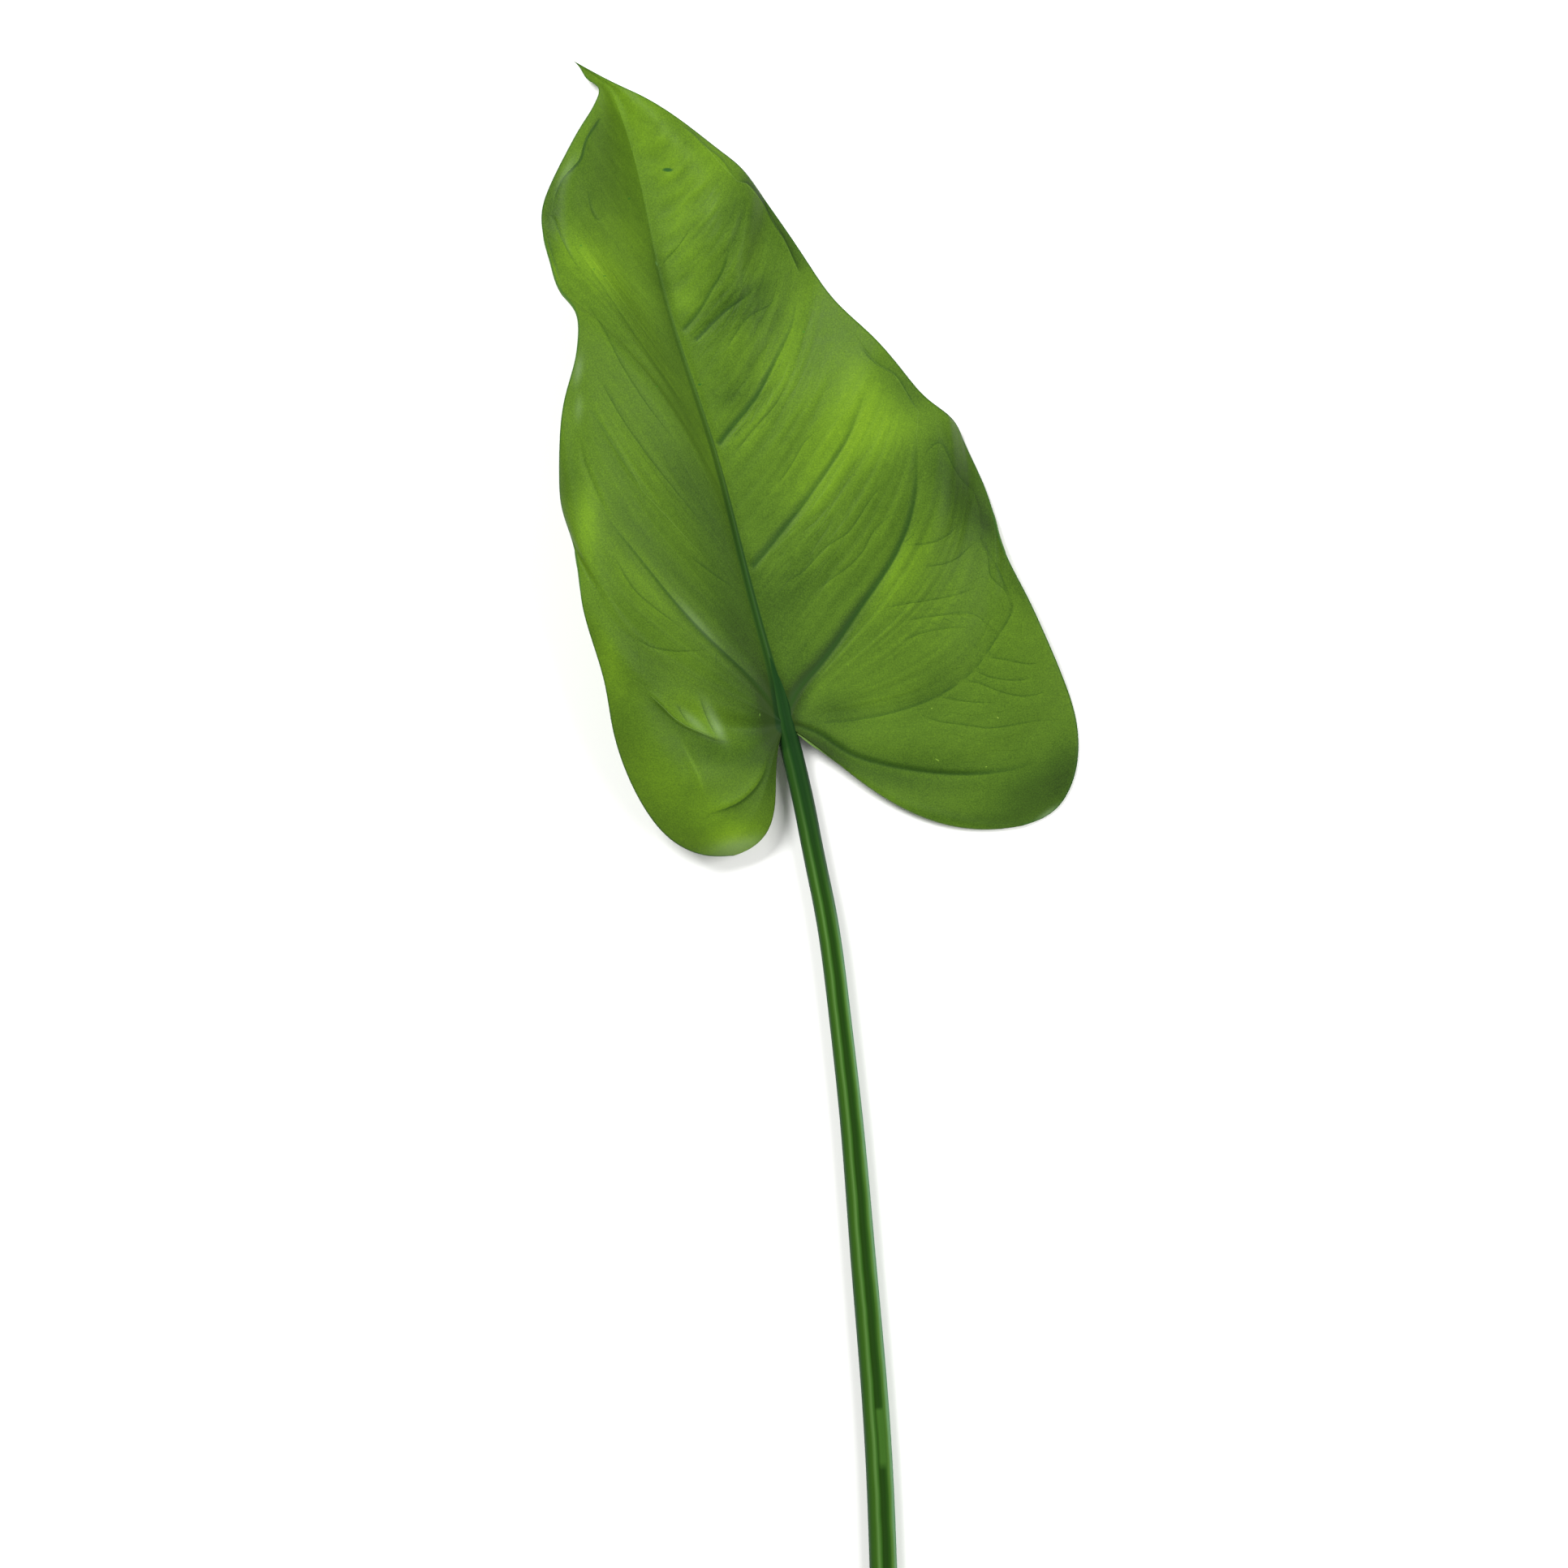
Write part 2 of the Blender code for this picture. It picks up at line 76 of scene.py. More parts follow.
# The outer edge of each half, from the tip to the end of its lobe.
RIGHT_EDGE = (
    (-65.2, 204.4), (-56.4, 199.6), (-50.0, 196.4), (-44.2, 193.6), (-31.8, 185.8), (-19.2, 176.1),
    (-13.4, 171.3), (-9.6, 166.6), (-5.8, 161.2), (-0.2, 153.2), (7.8, 141.2), (14.8, 131.2), (26.7, 119.5),
    (36.5, 108.2), (43.9, 99.9), (50.2, 95.2), (52.4, 93.0), (54.8, 88.2), (60.5, 75.7), (64.2, 65.0),
    (66.0, 57.5), (67.8, 52.7), (73.8, 40.9), (79.8, 28.2), (85.7, 14.3), (89.5, 2.5), (90.4, -7.8),
    (88.7, -17.3), (83.5, -25.8), (73.2, -31.0),
)
LEFT_EDGE = (
    (-65.2, 204.4), (-63.0, 202.0), (-60.9, 198.7), (-57.4, 195.8), (-58.0, 191.6), (-62.5, 183.2),
    (-67.2, 174.2), (-71.9, 164.4), (-74.2, 157.0), (-73.8, 149.5), (-71.8, 142.0), (-68.2, 131.8),
    (-63.9, 126.2), (-62.7, 118.5), (-63.8, 110.5), (-67.0, 98.7), (-68.6, 83.0), (-68.7, 76.0),
    (-67.9, 65.7), (-65.0, 56.5), (-63.0, 48.0), (-61.7, 37.0), (-58.7, 25.5), (-54.7, 11.5), (-52.6, -1.0),
    (-49.5, -12.0), (-43.5, -24.8), (-34.0, -36.0), (-23.5, -40.3), (-15.8, -40.3),
)

# Lines across each half, from the midrib to the outer edge. Where the line starts (0 at the tip,
# 1 at the junction, 2 at the end of the fan), its place on the edge, its bow and where the bow is
# deepest, how far the rim turns down, and the height at each quarter of the way out.
RIGHT_ROWS = (
    (0.000, 0.0, 0.000, 0.50, 0.0, 3.0, 3.0, 3.0, 3.0),
    (0.035, 1.0, 0.000, 0.50, 0.0, 2.2, 2.3, 2.3, 2.4),
    (0.075, 2.0, 0.000, 0.50, 0.0, 2.0, 2.4, 2.8, 3.0),
    (0.150, 3.6, 0.050, 0.50, 0.5, 3.8, 5.4, 6.2, 5.4),
    (0.275, 5.2, 0.080, 0.50, 1.8, 6.4, 8.6, 9.4, 6.6),
    (0.420, 7.0, 0.110, 0.48, 2.0, 8.4, 10.6, 9.8, 5.0),
    (0.480, 8.4, 0.090, 0.50, 1.6, 8.4, 8.8, 4.6, 0.8),
    (0.594, 9.9, 0.087, 0.50, 0.8, 8.0, 7.2, 4.6, 1.2),
    (0.774, 12.4, 0.057, 0.58, 0.4, 8.0, 9.0, 11.4, 11.0),
    (1.000, 14.2, 0.120, 0.62, 0.6, 7.6, 8.6, 11.6, 10.6),
    (1.180, 17.5, 0.190, 0.60, 0.8, 6.6, 6.0, 5.0, 1.8),
    (1.340, 21.3, 0.240, 0.60, 0.3, 5.6, 4.0, 3.8, 5.6),
    (1.500, 23.3, 0.210, 0.59, 0.3, 5.4, 3.4, 2.6, 4.2),
    (1.650, 25.3, 0.175, 0.58, 0.0, 5.4, 2.6, 0.4, -0.2),
    (1.820, 27.4, 0.150, 0.57, 0.0, 6.0, 3.0, 0.0, -0.2),
    (2.000, 29.0, 0.119, 0.61, 0.0, 6.8, 5.0, 2.6, 1.0),
)
LEFT_ROWS = (
    (0.000, 0.0, 0.000, 0.50, 0.0, 3.0, 3.0, 3.0, 3.0),
    (0.035, 1.3, 0.000, 0.50, 0.0, 2.2, 2.4, 2.6, 2.8),
    (0.075, 3.0, 0.000, 0.50, 0.0, 2.6, 3.6, 4.6, 5.2),
    (0.150, 4.1, 0.020, 0.50, 1.0, 5.2, 8.0, 10.4, 11.0),
    (0.275, 5.0, 0.030, 0.50, 2.4, 9.0, 13.6, 17.4, 18.4),
    (0.420, 6.4, 0.030, 0.50, 3.0, 12.4, 18.6, 23.4, 24.0),
    (0.594, 8.2, -0.030, 0.50, 2.6, 14.6, 22.4, 27.6, 25.6),
    (0.700, 11.4, -0.070, 0.55, 0.8, 16.4, 25.0, 31.4, 35.8),
    (0.820, 13.6, 0.020, 0.55, 0.2, 17.6, 27.0, 33.8, 37.6),
    (1.000, 15.2, 0.070, 0.62, 1.0, 19.0, 29.6, 36.6, 37.4),
    (1.180, 18.6, 0.090, 0.60, 1.4, 19.4, 30.6, 38.0, 34.4),
    (1.340, 20.8, 0.100, 0.55, 0.4, 18.2, 28.4, 36.6, 38.8),
    (1.500, 23.0, 0.120, 0.50, 0.4, 13.4, 22.0, 30.0, 32.6),
    (1.650, 25.2, 0.120, 0.52, 0.6, 14.0, 20.6, 23.8, 22.4),
    (1.820, 27.3, 0.120, 0.60, 0.8, 11.4, 14.0, 14.8, 12.6),
    (2.000, 29.0, 0.165, 0.70, 0.6, 8.8, 8.4, 7.8, 7.0),
)

# Where the strong side veins leave the midrib and the junction.
RIGHT_VEINS = (0.275, 0.42, 0.594, 0.774, 1.0, 1.34, 1.65)
LEFT_VEINS = (0.275, 0.42, 0.594, 0.82, 1.0, 1.34, 1.5)


class Side(Enum):
    """The two halves of the blade, by the sign of the side that they lie on."""

    RIGHT = 1.0
    LEFT = -1.0


def hex_to_linear(code: str) -> tuple[float, float, float, float]:
    """Turns an sRGB colour code into linear light.

    Args:
        code: six hexadecimal digits after a hash sign.

    Returns:
        Red, green, blue and an alpha of one.
    """
    parts = [int(code[i : i + 2], 16) / 255.0 for i in (1, 3, 5)]
    linear = [p / 12.92 if p <= 0.04045 else ((p + 0.055) / 1.055) ** 2.4 for p in parts]
    return (*linear, 1.0)


def add_node(
    tree: Tree, kind: str, inputs: dict | tuple = (), stops: tuple = (), **settings: object
) -> NodeOutputs:
    """Adds a node with its settings, values and links.

    Args:
        tree: the tree that the node goes into.
        kind: the node's type name.
        inputs: values, colour codes, sockets or lists of them, in order or by the input's name.
        stops: the place and the colour code of each stop, if the node is a colour ramp.
        **settings: properties of the node itself.

    Returns:
        The new node's outputs.
    """
    node = tree.nodes.new(kind)
    for name, value in settings.items():
        setattr(node, name, value)
    for name, values in inputs.items() if isinstance(inputs, dict) else enumerate(inputs):
        for value in values if isinstance(values, list) else [values]:
            if isinstance(value, Socket):
                tree.links.new(value, node.inputs[name])
                continue
            is_colour = isinstance(value, str) and value.startswith("#")
            node.inputs[name].default_value = hex_to_linear(value) if is_colour else value
    for place, _ in stops[1:-1]:
        node.color_ramp.elements.new(place)
    for i, (place, code) in enumerate(stops):
        node.color_ramp.elements[i].position = place
        node.color_ramp.elements[i].color = hex_to_linear(code)
    return node.outputs


# A Map Range node takes its inputs in the order value, from lowest, from highest, to lowest, to
# highest. A Mix node's colour sockets go by number, because its other sockets share their names.
SHARE, BELOW, ABOVE, MIXED = 0, 6, 7, 2
SMOOTH = {"interpolation_type": "SMOOTHSTEP"}


def new_material(name: str) -> tuple[Material, Adder]:
    """Starts a material.

    Args:
        name: the material's name.

    Returns:
        The material and the function that adds nodes to it.
    """
    material = bpy.data.materials.new(name)
    material.use_nodes = True
    material.node_tree.nodes.clear()
    return material, partial(add_node, material.node_tree)


def flowing_slopes(knots: Array, values: Array) -> Array:
    """Finds the slopes of the natural cubic curve through values.

    Args:
        knots: rising places of the values.
        values: one row of numbers for each knot.

    Returns:
        The slope at each knot.
    """
    count = len(knots)
    step = np.diff(knots)
    rise = np.diff(values, axis=0) / step[:, None]
    matrix = np.zeros((count, count))
    right = np.zeros(values.shape)
    matrix[0, :2] = 2.0, 1.0
    matrix[-1, -2:] = 1.0, 2.0
    right[[0, -1]] = 3.0 * rise[[0, -1]]
    for i in range(1, count - 1):
        matrix[i, i - 1 : i + 2] = step[i], 2.0 * (step[i - 1] + step[i]), step[i - 1]
        right[i] = 3.0 * (step[i] * rise[i - 1] + step[i - 1] * rise[i])
    return np.linalg.solve(matrix, right)


def steady_slopes(knots: Array, values: Array) -> Array:
    """Finds the slopes of a curve through values that never swings past them.

    Args:
        knots: rising places of the values.
        values: one row of numbers for each knot.

    Returns:
        The slope at each knot.
    """
    step = np.diff(knots)[:, None]
    rise = np.diff(values, axis=0) / step
    slopes = np.zeros(values.shape)
    slopes[[0, -1]] = rise[[0, -1]]
    before = 2.0 * step[1:] + step[:-1]
    after = step[1:] + 2.0 * step[:-1]
    same_way = rise[:-1] * rise[1:] > 0.0
    low = np.where(same_way, rise[:-1], 1.0)
    high = np.where(same_way, rise[1:], 1.0)
    slopes[1:-1] = np.where(same_way, (before + after) / (before / low + after / high), 0.0)
    return slopes


def follow(knots: Array, values: Array, slopes: Array, places: Array) -> Array:
    """Reads a cubic curve at some places.

    Args:
        knots: rising places of the values.
        values: one row of numbers for each knot.
        slopes: the slope at each knot.
        places: where to read the curve.

    Returns:
        One row of numbers for each place.
    """
    places = np.clip(places, knots[0], knots[-1])
    i = np.clip(np.searchsorted(knots, places, side="right") - 1, 0, len(knots) - 2)
    step = (knots[i + 1] - knots[i])[:, None]
    t = (places - knots[i])[:, None] / step
    near = (1.0 + 2.0 * t) * (1.0 - t) ** 2 * values[i] + t * (1.0 - t) ** 2 * step * slopes[i]
    far = t * t * (3.0 - 2.0 * t) * values[i + 1] + t * t * (t - 1.0) * step * slopes[i + 1]
    return near + far


def ease(share: Array) -> Array:
    """Eases a share from nothing to one, level at both ends."""
    share = np.clip(share, 0.0, 1.0)
    return share * share * (3.0 - 2.0 * share)


class Path:
    """A flowing curve through points, asked for by share of its length or by point number."""

    def __init__(self, points: tuple) -> None:
        """Fits the curve.

        Args:
            points: the points, in millimetres from the junction.
        """
        self.points = np.array(points, float)
        chords = np.linalg.norm(np.diff(self.points[:, :2], axis=0), axis=1)
        self.knots = np.concatenate([[0.0], np.cumsum(chords)])
        self.slopes = flowing_slopes(self.knots, self.points)

    def at_share(self, shares: Array) -> Array:
        """Gives the points at shares of the length."""
        return follow(self.knots, self.points, self.slopes, shares * self.knots[-1])

    def at_point(self, numbers: Array) -> Array:
        """Gives the points at point numbers, whole or in between."""
        places = np.interp(numbers, np.arange(len(self.knots)), self.knots)
        return follow(self.knots, self.points, self.slopes, places)

    def nearest(self, plan: Array, count: int = 48) -> tuple[Array, Array]:
        """Measures how far points of the plan are from the curve.

        Args:
            plan: points of the plan, one a row.
            count: how many straight stretches stand for the curve.

        Returns:
            The distance, positive on the left of the curve's direction, and the share of the
            curve's length that is nearest.
        """
        line = self.at_share(np.linspace(0.0, 1.0, count + 1))[:, :2]
        best = np.full(len(plan), np.inf)
        side = np.ones(len(plan))
        share = np.zeros(len(plan))
        for i in range(count):
            ahead = line[i + 1] - line[i]
            apart = plan - line[i]
            t = np.clip(apart @ ahead / (ahead @ ahead), 0.0, 1.0)
            off = apart - t[:, None] * ahead
            gap = np.linalg.norm(off, axis=1)
            closer = gap < best
            best[closer] = gap[closer]
            turn = ahead[0] * apart[closer, 1] - ahead[1] * apart[closer, 0]
            side[closer] = np.where(turn < 0.0, -1.0, 1.0)
            share[closer] = (i + t[closer]) / count
        return best * side, share


# What the blade's points carry for its material, with painted light, shade and sheen in tone and sheen,
# and what the nearest strong vein adds to that: its dark line and the painted light and shade beside it.
SKIN_FIELDS = ("tone", "sheen", "wave", "from_midrib", "midrib_width", "from_edge")
LINE_FIELDS = ("line_aside", "line_core", "line_left", "line_right")
# Where a strong vein's dark line begins and ends across it, in half widths, positive on its left.
# Its long soft end on the left is painted shade.
CORE_RISE = (-1.2, 0.1)
CORE_FALL = (0.1, 2.8)
# How far from a strong vein its two sides are told apart, in half widths.
LINE_REACH = 12.0
# How wide a crease is at its end, as a share of its width at its start.
CREASE_END = 0.55
# How softly a crease's step rises, and the largest power that its curve is worked out for.
STEP_SOFTNESS = 0.35
STEP_LIMIT = 30.0


@dataclass(frozen=True)
class Mark:
    """What one crease does to points of the blade.

    Attributes:
        height: the change in height.
        aside: distance from the line in half widths, positive on its left.
        gap: distance from the line in millimetres.
        core: how dark the line itself is drawn.
        left: painted light on the left side, or painted shade if negative.
        right: the same on the right side.
    """

    height: Array
    aside: Array
    gap: Array
    core: Array
    left: Array
    right: Array


@dataclass(frozen=True)
class Crease:
    """A vein or fold pressed into the blade along a path.

    Left and right are those of someone who walks along the path. Beside its line a crease paints the
    blade lighter or darker: painted light and shade on the sides of its furrow.

    Attributes:
        path: points of the line in plan.
        depth: depth of the furrow.
        left: how far the furrow reaches on the left.
        right: how far it reaches on the right.
        step: how far the left side stands above the right side at the line, or the right above
            the left if it is negative.
        line: half the width of the dark line at its start.
        core: how dark the line is: the vein's own darker green, with painted shade that runs out on its
            left.
        tone_left: painted light on the left, or painted shade if negative.
        tone_right: the same on the right.
        spread: how far from the line the step and the tones reach.
        fade_in: share of the line over which it begins.
        fade_out: share of the line over which it ends.
    """

    path: tuple
    depth: float
    left: float
    right: float
    step: float = 0.0
    line: float = 0.8
    core: float = 0.0
    tone_left: float = 0.0
    tone_right: float = 0.0
    spread: float = 4.0
    fade_in: float = 0.05
    fade_out: float = 0.35

    def press(self, plan: Array) -> Mark:
        """Works out what the line does to points of the blade.

        Args:
            plan: points of the plan, one a row.

        Returns:
            The mark that it leaves.
        """
        aside, share = Path(self.path).nearest(plan)
        strength = ease(share / self.fade_in) * ease((1.0 - share) / self.fade_out)
        taper = CREASE_END + (1.0 - CREASE_END) * (1.0 - share)
        wide = np.where(aside > 0.0, self.left, self.right) * taper
        furrow = np.exp(-((aside / wide) ** 2))
        on_left = 1.0 / (1.0 + np.exp(-np.clip(aside / STEP_SOFTNESS, -STEP_LIMIT, STEP_LIMIT)))
        reach = np.exp(-np.abs(aside) / self.spread)
        raised = self.step * on_left if self.step > 0.0 else -self.step * (1.0 - on_left)
        return Mark(
            height=strength * (raised * reach - self.depth * furrow),
            aside=aside / (self.line * taper),
            gap=np.abs(aside),
            core=self.core * strength,
            left=self.tone_left * strength * reach,
            right=self.tone_right * strength * reach,
        )


def table_of(kind: type, *rows: tuple) -> tuple:
    """Makes one of a kind from each row, which holds its values in order."""
    return tuple(kind(*row) for row in rows)


# In the tables of creases, the numbers after each path are its depth, left, right, step, line,
# core, tone_left, tone_right, spread, fade_in and fade_out. A side's painted light
# is painted shade where it is negative.

# Strong side veins of the right half, from the tip down.
RIGHT_CREASES = table_of(
    Crease,
    (((-31.8, 120.6), (-28.4, 124.2), (-25.5, 128.2), (-22.1, 134.0), (-19.3, 138.8), (-17.5, 143.8),
     (-16.4, 150.2)),
     0.34, 1.3, 0.8, 0.0, 0.6, 0.26, -0.1, 0.1, 4.0),
    (((-28.0, 117.2), (-22.8, 122.5), (-17.8, 127.2), (-12.0, 131.5), (-8.2, 135.0)),
     0.4, 2.0, 0.6, 0.0, 0.65, 0.28, -0.22, 0.18, 4.0, 0.08, 0.4),
    (((-20.5, 85.5), (-16.8, 90.5), (-9.0, 100.2), (-5.0, 107.5), (-1.8, 114.0), (2.2, 123.5),
     (4.0, 137.2)),
     0.36, 1.6, 0.8, 0.0, 0.8, 0.44, -0.12, 0.12, 4.0, 0.02, 0.6),
    (((-10.2, 47.8), (-2.5, 57.2), (6.8, 69.2), (14.0, 79.5), (19.0, 87.5), (24.2, 100.8), (27.8, 109.5)),
     0.42, 1.6, 0.9, 0.0, 0.95, 0.35, -0.16, 0.1, 4.5, 0.015, 0.5),
    (((0.0, 0.0), (3.8, 9.8), (9.6, 16.8), (22.1, 34.1), (34.0, 52.0), (37.2, 59.2), (40.2, 72.5),
     (40.2, 85.2), (40.5, 96.0)),
     0.52, 1.7, 1.2, 0.0, 1.05, 0.5, -0.28, 0.14, 5.0, 0.06, 0.45),
    (((0.0, 0.0), (18.2, 1.0), (36.0, 4.5), (47.8, 9.2), (59.0, 17.8), (66.0, 28.0), (70.0, 37.2),
     (68.2, 42.0), (63.8, 51.8), (60.5, 57.2), (59.0, 68.5)),
     0.2, 0.9, 0.6, 0.0, 0.48, 0.18, -0.1, 0.1, 3.0, 0.3, 0.3),
    (((0.0, 0.0), (4.5, -0.5), (10.8, -3.0), (18.2, -8.0), (31.0, -12.4), (45.2, -14.7), (66.8, -14.4),
     (76.8, -11.2), (81.0, -7.8)),
     0.45, 1.2, 2.0, 0.2, 0.95, 0.26, -0.14, 0.16, 3.5, 0.02, 0.35),
)

# Strong side veins, folds and the pleat of the left half.
LEFT_CREASES = table_of(
    Crease,
    (((0.0, 0.0), (-4.8, 7.8), (-14.0, 17.8), (-24.0, 27.2), (-35.5, 39.8), (-46.0, 52.8), (-55.0, 64.8),
     (-61.0, 81.0), (-62.2, 85.8)),
     0.42, 0.8, 1.6, 0.0, 0.6, 0.32, -0.1, 0.18, 4.0, 0.12, 0.6),
    (((-60.8, 99.5), (-58.8, 95.2), (-52.8, 85.8), (-45.0, 73.8), (-38.2, 66.2)),
     0.3, 1.2, 1.2, 0.0, 0.5, 0.16, 0.12, -0.08, 5.0, 0.3, 0.5),
    (((-20.5, 85.5), (-29.2, 95.8), (-41.8, 113.2), (-56.2, 134.5), (-70.8, 155.8)),
     0.16, 0.9, 0.9, 0.0, 0.4, 0.1, 0.0, 0.08, 3.0, 0.3, 0.3),
    (((-42.7, 10.2), (-38.2, 6.0), (-34.2, 1.9), (-29.7, -1.1), (-24.6, -3.2), (-20.1, -4.8),
     (-15.6, -5.0)),
     0.35, 0.6, 1.2, 1.6, 0.45, 0.18, 0.32, -0.45, 3.0, 0.25, 0.2),
    (((-5.0, -9.0), (-6.2, -14.5), (-10.2, -20.8), (-14.6, -24.2), (-20.2, -26.4), (-25.2, -27.6)),
     0.25, 1.0, 0.6, -0.9, 0.5, 0.2, -0.3, 0.3, 3.0, 0.4, 0.3),
    (((-34.0, -1.0), (-28.8, -10.8), (-25.5, -19.0), (-24.5, -27.0)),
     -0.45, 1.6, 1.6, 0.0, 0.5, -0.15, 0.2, 0.2, 2.0, 0.4, 0.4),
    (((-62.5, 88.2), (-60.8, 79.5), (-56.5, 68.8), (-53.2, 60.5)),
     0.3, 1.0, 1.0, 0.0, 0.5, 0.2, 0.0, 0.2, 4.0, 0.3, 0.4),
)

# Where the rims fold over, seen as fine lines inside the margin.
LEFT_RIM = table_of(
    Crease,
    (((-56.2, 187.0), (-58.8, 182.8), (-61.4, 177.5), (-62.5, 173.0), (-67.0, 167.8), (-70.0, 161.8),
     (-71.1, 155.8)),
     0.5, 0.55, 0.55, 0.0, 0.4, 0.42, -0.25, 0.18, 2.0, 0.1, 0.5),
    (((-71.1, 155.8), (-68.0, 148.0), (-64.0, 140.5), (-60.5, 136.5)),
     0.26, 0.8, 0.8, 0.0, 0.4, 0.2, 0.12, 0.2, 2.5, 0.1, 0.5),
    (((-73.2, 150.0), (-70.4, 140.8), (-68.0, 133.5)),
     0.35, 0.45, 0.45, 0.0, 0.45, 0.2, 0.1, 0.4, 1.2, 0.2, 0.3),
)
RIGHT_RIM = table_of(
    Crease,
    (((-32.5, 184.5), (-28.8, 182.0), (-24.2, 177.5), (-20.0, 174.2), (-17.6, 171.2), (-14.7, 167.0)),
     -0.22, 0.5, 0.9, 0.0, 0.4, 0.15, -0.12, 0.14, 2.0, 0.15, 0.25),
    (((-15.6, 166.4), (-12.2, 166.6), (-8.8, 163.7), (-5.9, 159.1), (-3.4, 154.3), (-0.9, 150.6),
     (2.4, 144.0), (4.9, 138.4)),
     -0.22, 0.5, 0.9, 0.0, 0.4, 0.15, -0.62, 0.1, 2.2, 0.12, 0.12),
    (((23.0, 116.5), (28.2, 110.5), (33.5, 107.5), (38.8, 99.2), (41.0, 96.2)),
     -0.16, 0.5, 0.5, 0.0, 0.4, 0.2, -0.1, 0.05, 3.0, 0.1, 0.1),
    (((57.5, 71.8), (60.0, 65.5), (60.5, 57.2), (64.0, 50.0)),
     -0.14, 0.5, 0.5, 0.0, 0.35, 0.15, 0.0, 0.1, 1.0, 0.2, 0.2),
)


def ribs(lines: tuple) -> tuple[Crease, ...]:
    """Gives the fine veins a shallow dark furrow with painted shade on its left and painted light on its
    right.

    Args:
        lines: the points of each vein.

    Returns:
        A crease for each.
    """
    sides = {
        "depth": 0.10, "left": 0.7, "right": 0.5, "line": 0.40, "core": 0.13,
        "tone_left": -0.05, "tone_right": 0.13, "spread": 1.3, "fade_in": 0.15,
    }
    return tuple(Crease(line, **sides) for line in lines)


@dataclass(frozen=True)
class Fleck:
    """A small mark on the blade.

    Attributes:
        at: where its middle is in plan.
        length: its length.
        width: its width.
        turn: direction of its length, in degrees from +X.
        colour: its colour code.
    """

    at: tuple
    length: float
    width: float
    turn: float
    colour: str


FLECKS = table_of(
    Fleck,
    ((-36.0, 170.5), 3.6, 1.3, -4.0, "#1F4A1E"),
    ((-47.8, 161.5), 1.0, 0.8, 0.0, "#35601C"),
    ((-62.2, 146.0), 0.9, 0.6, 0.0, "#3F6A1C"),
    ((-58.2, 138.8), 0.6, 0.6, 0.0, "#3F6A1C"),
    ((-55.0, 136.8), 1.1, 0.5, 0.0, "#3F6A1C"),
    ((5.8, 120.8), 1.0, 0.8, 0.0, "#3F6A1C"),
    ((-26.2, 104.5), 1.3, 0.7, 15.0, "#2A541C"),
    ((-39.0, 103.0), 0.8, 0.7, 0.0, "#3F6A1C"),
    ((-39.5, 141.8), 1.6, 0.5, 110.0, "#4F7038"),
    ((45.2, 5.0), 0.6, 0.4, 0.0, "#6E8C30"),
    ((65.5, 2.2), 0.9, 0.4, -40.0, "#768F34"),
    ((46.9, -10.8), 1.6, 0.4, -30.0, "#6E8C30"),
    ((62.0, -12.9), 0.6, 0.4, 20.0, "#6E8C30"),
    ((-7.7, 3.0), 0.4, 0.9, 0.0, "#587A2E"),
)


@dataclass(frozen=True)
class Patch:
    """A soft patch of painted light or shade, of painted sheen or of wrinkling, by the table it stands in.

    Attributes:
        at: where its middle is in plan.
        length: its reach along its own direction.
        width: its reach across.
        turn: direction of its length, in degrees from +X.
        tone: its strength: how much lighter it is painted, or darker if negative, or how strong its sheen
            or wrinkling is.
        side: the half that it keeps to, if it stops at the midrib.
    """

    at: tuple
    length: float
    width: float
    turn: float
    tone: float
    side: Side | None = None

    def strength(self, plan: Array) -> Array:
        """Measures the patch at points of the blade.

        Args:
            plan: points of the plan, one a row.

        Returns:
            The patch's tone at each point.
        """
        angle = np.radians(self.turn)
        apart = plan - np.array(self.at)
        along = (apart[:, 0] * np.cos(angle) + apart[:, 1] * np.sin(angle)) / self.length
        aside = (apart[:, 1] * np.cos(angle) - apart[:, 0] * np.sin(angle)) / self.width
        return self.tone * np.exp(-along * along - aside * aside)


# Painted sheen: pale grey-green streaks of painted highlight where the waxy skin catches the light.
PAINTED_SHEEN = table_of(
    Patch,
    ((-27.0, 31.5), 9.0, 1.2, -48.0, 0.16, Side.LEFT),
    ((-27.4, 0.5), 5.0, 1.2, -42.0, 0.22),
    ((-21.7, 1.2), 5.5, 1.4, -63.0, 0.27),
    ((-20.2, -2.2), 2.6, 1.2, -62.0, 0.16),
    ((-62.8, 107.5), 4.0, 1.2, 80.0, 0.22),
    ((-62.6, 96.0), 3.6, 1.2, 85.0, 0.13),
    ((-66.5, 169.0), 5.0, 1.2, 60.0, 0.14),
    ((-14.0, -37.5), 8.0, 2.6, 12.0, 0.30),
    ((81.0, -27.5), 4.0, 1.0, 35.0, 0.24),
    ((-30.0, 95.0), 85.0, 9.0, -73.0, 0.024, Side.LEFT),
)
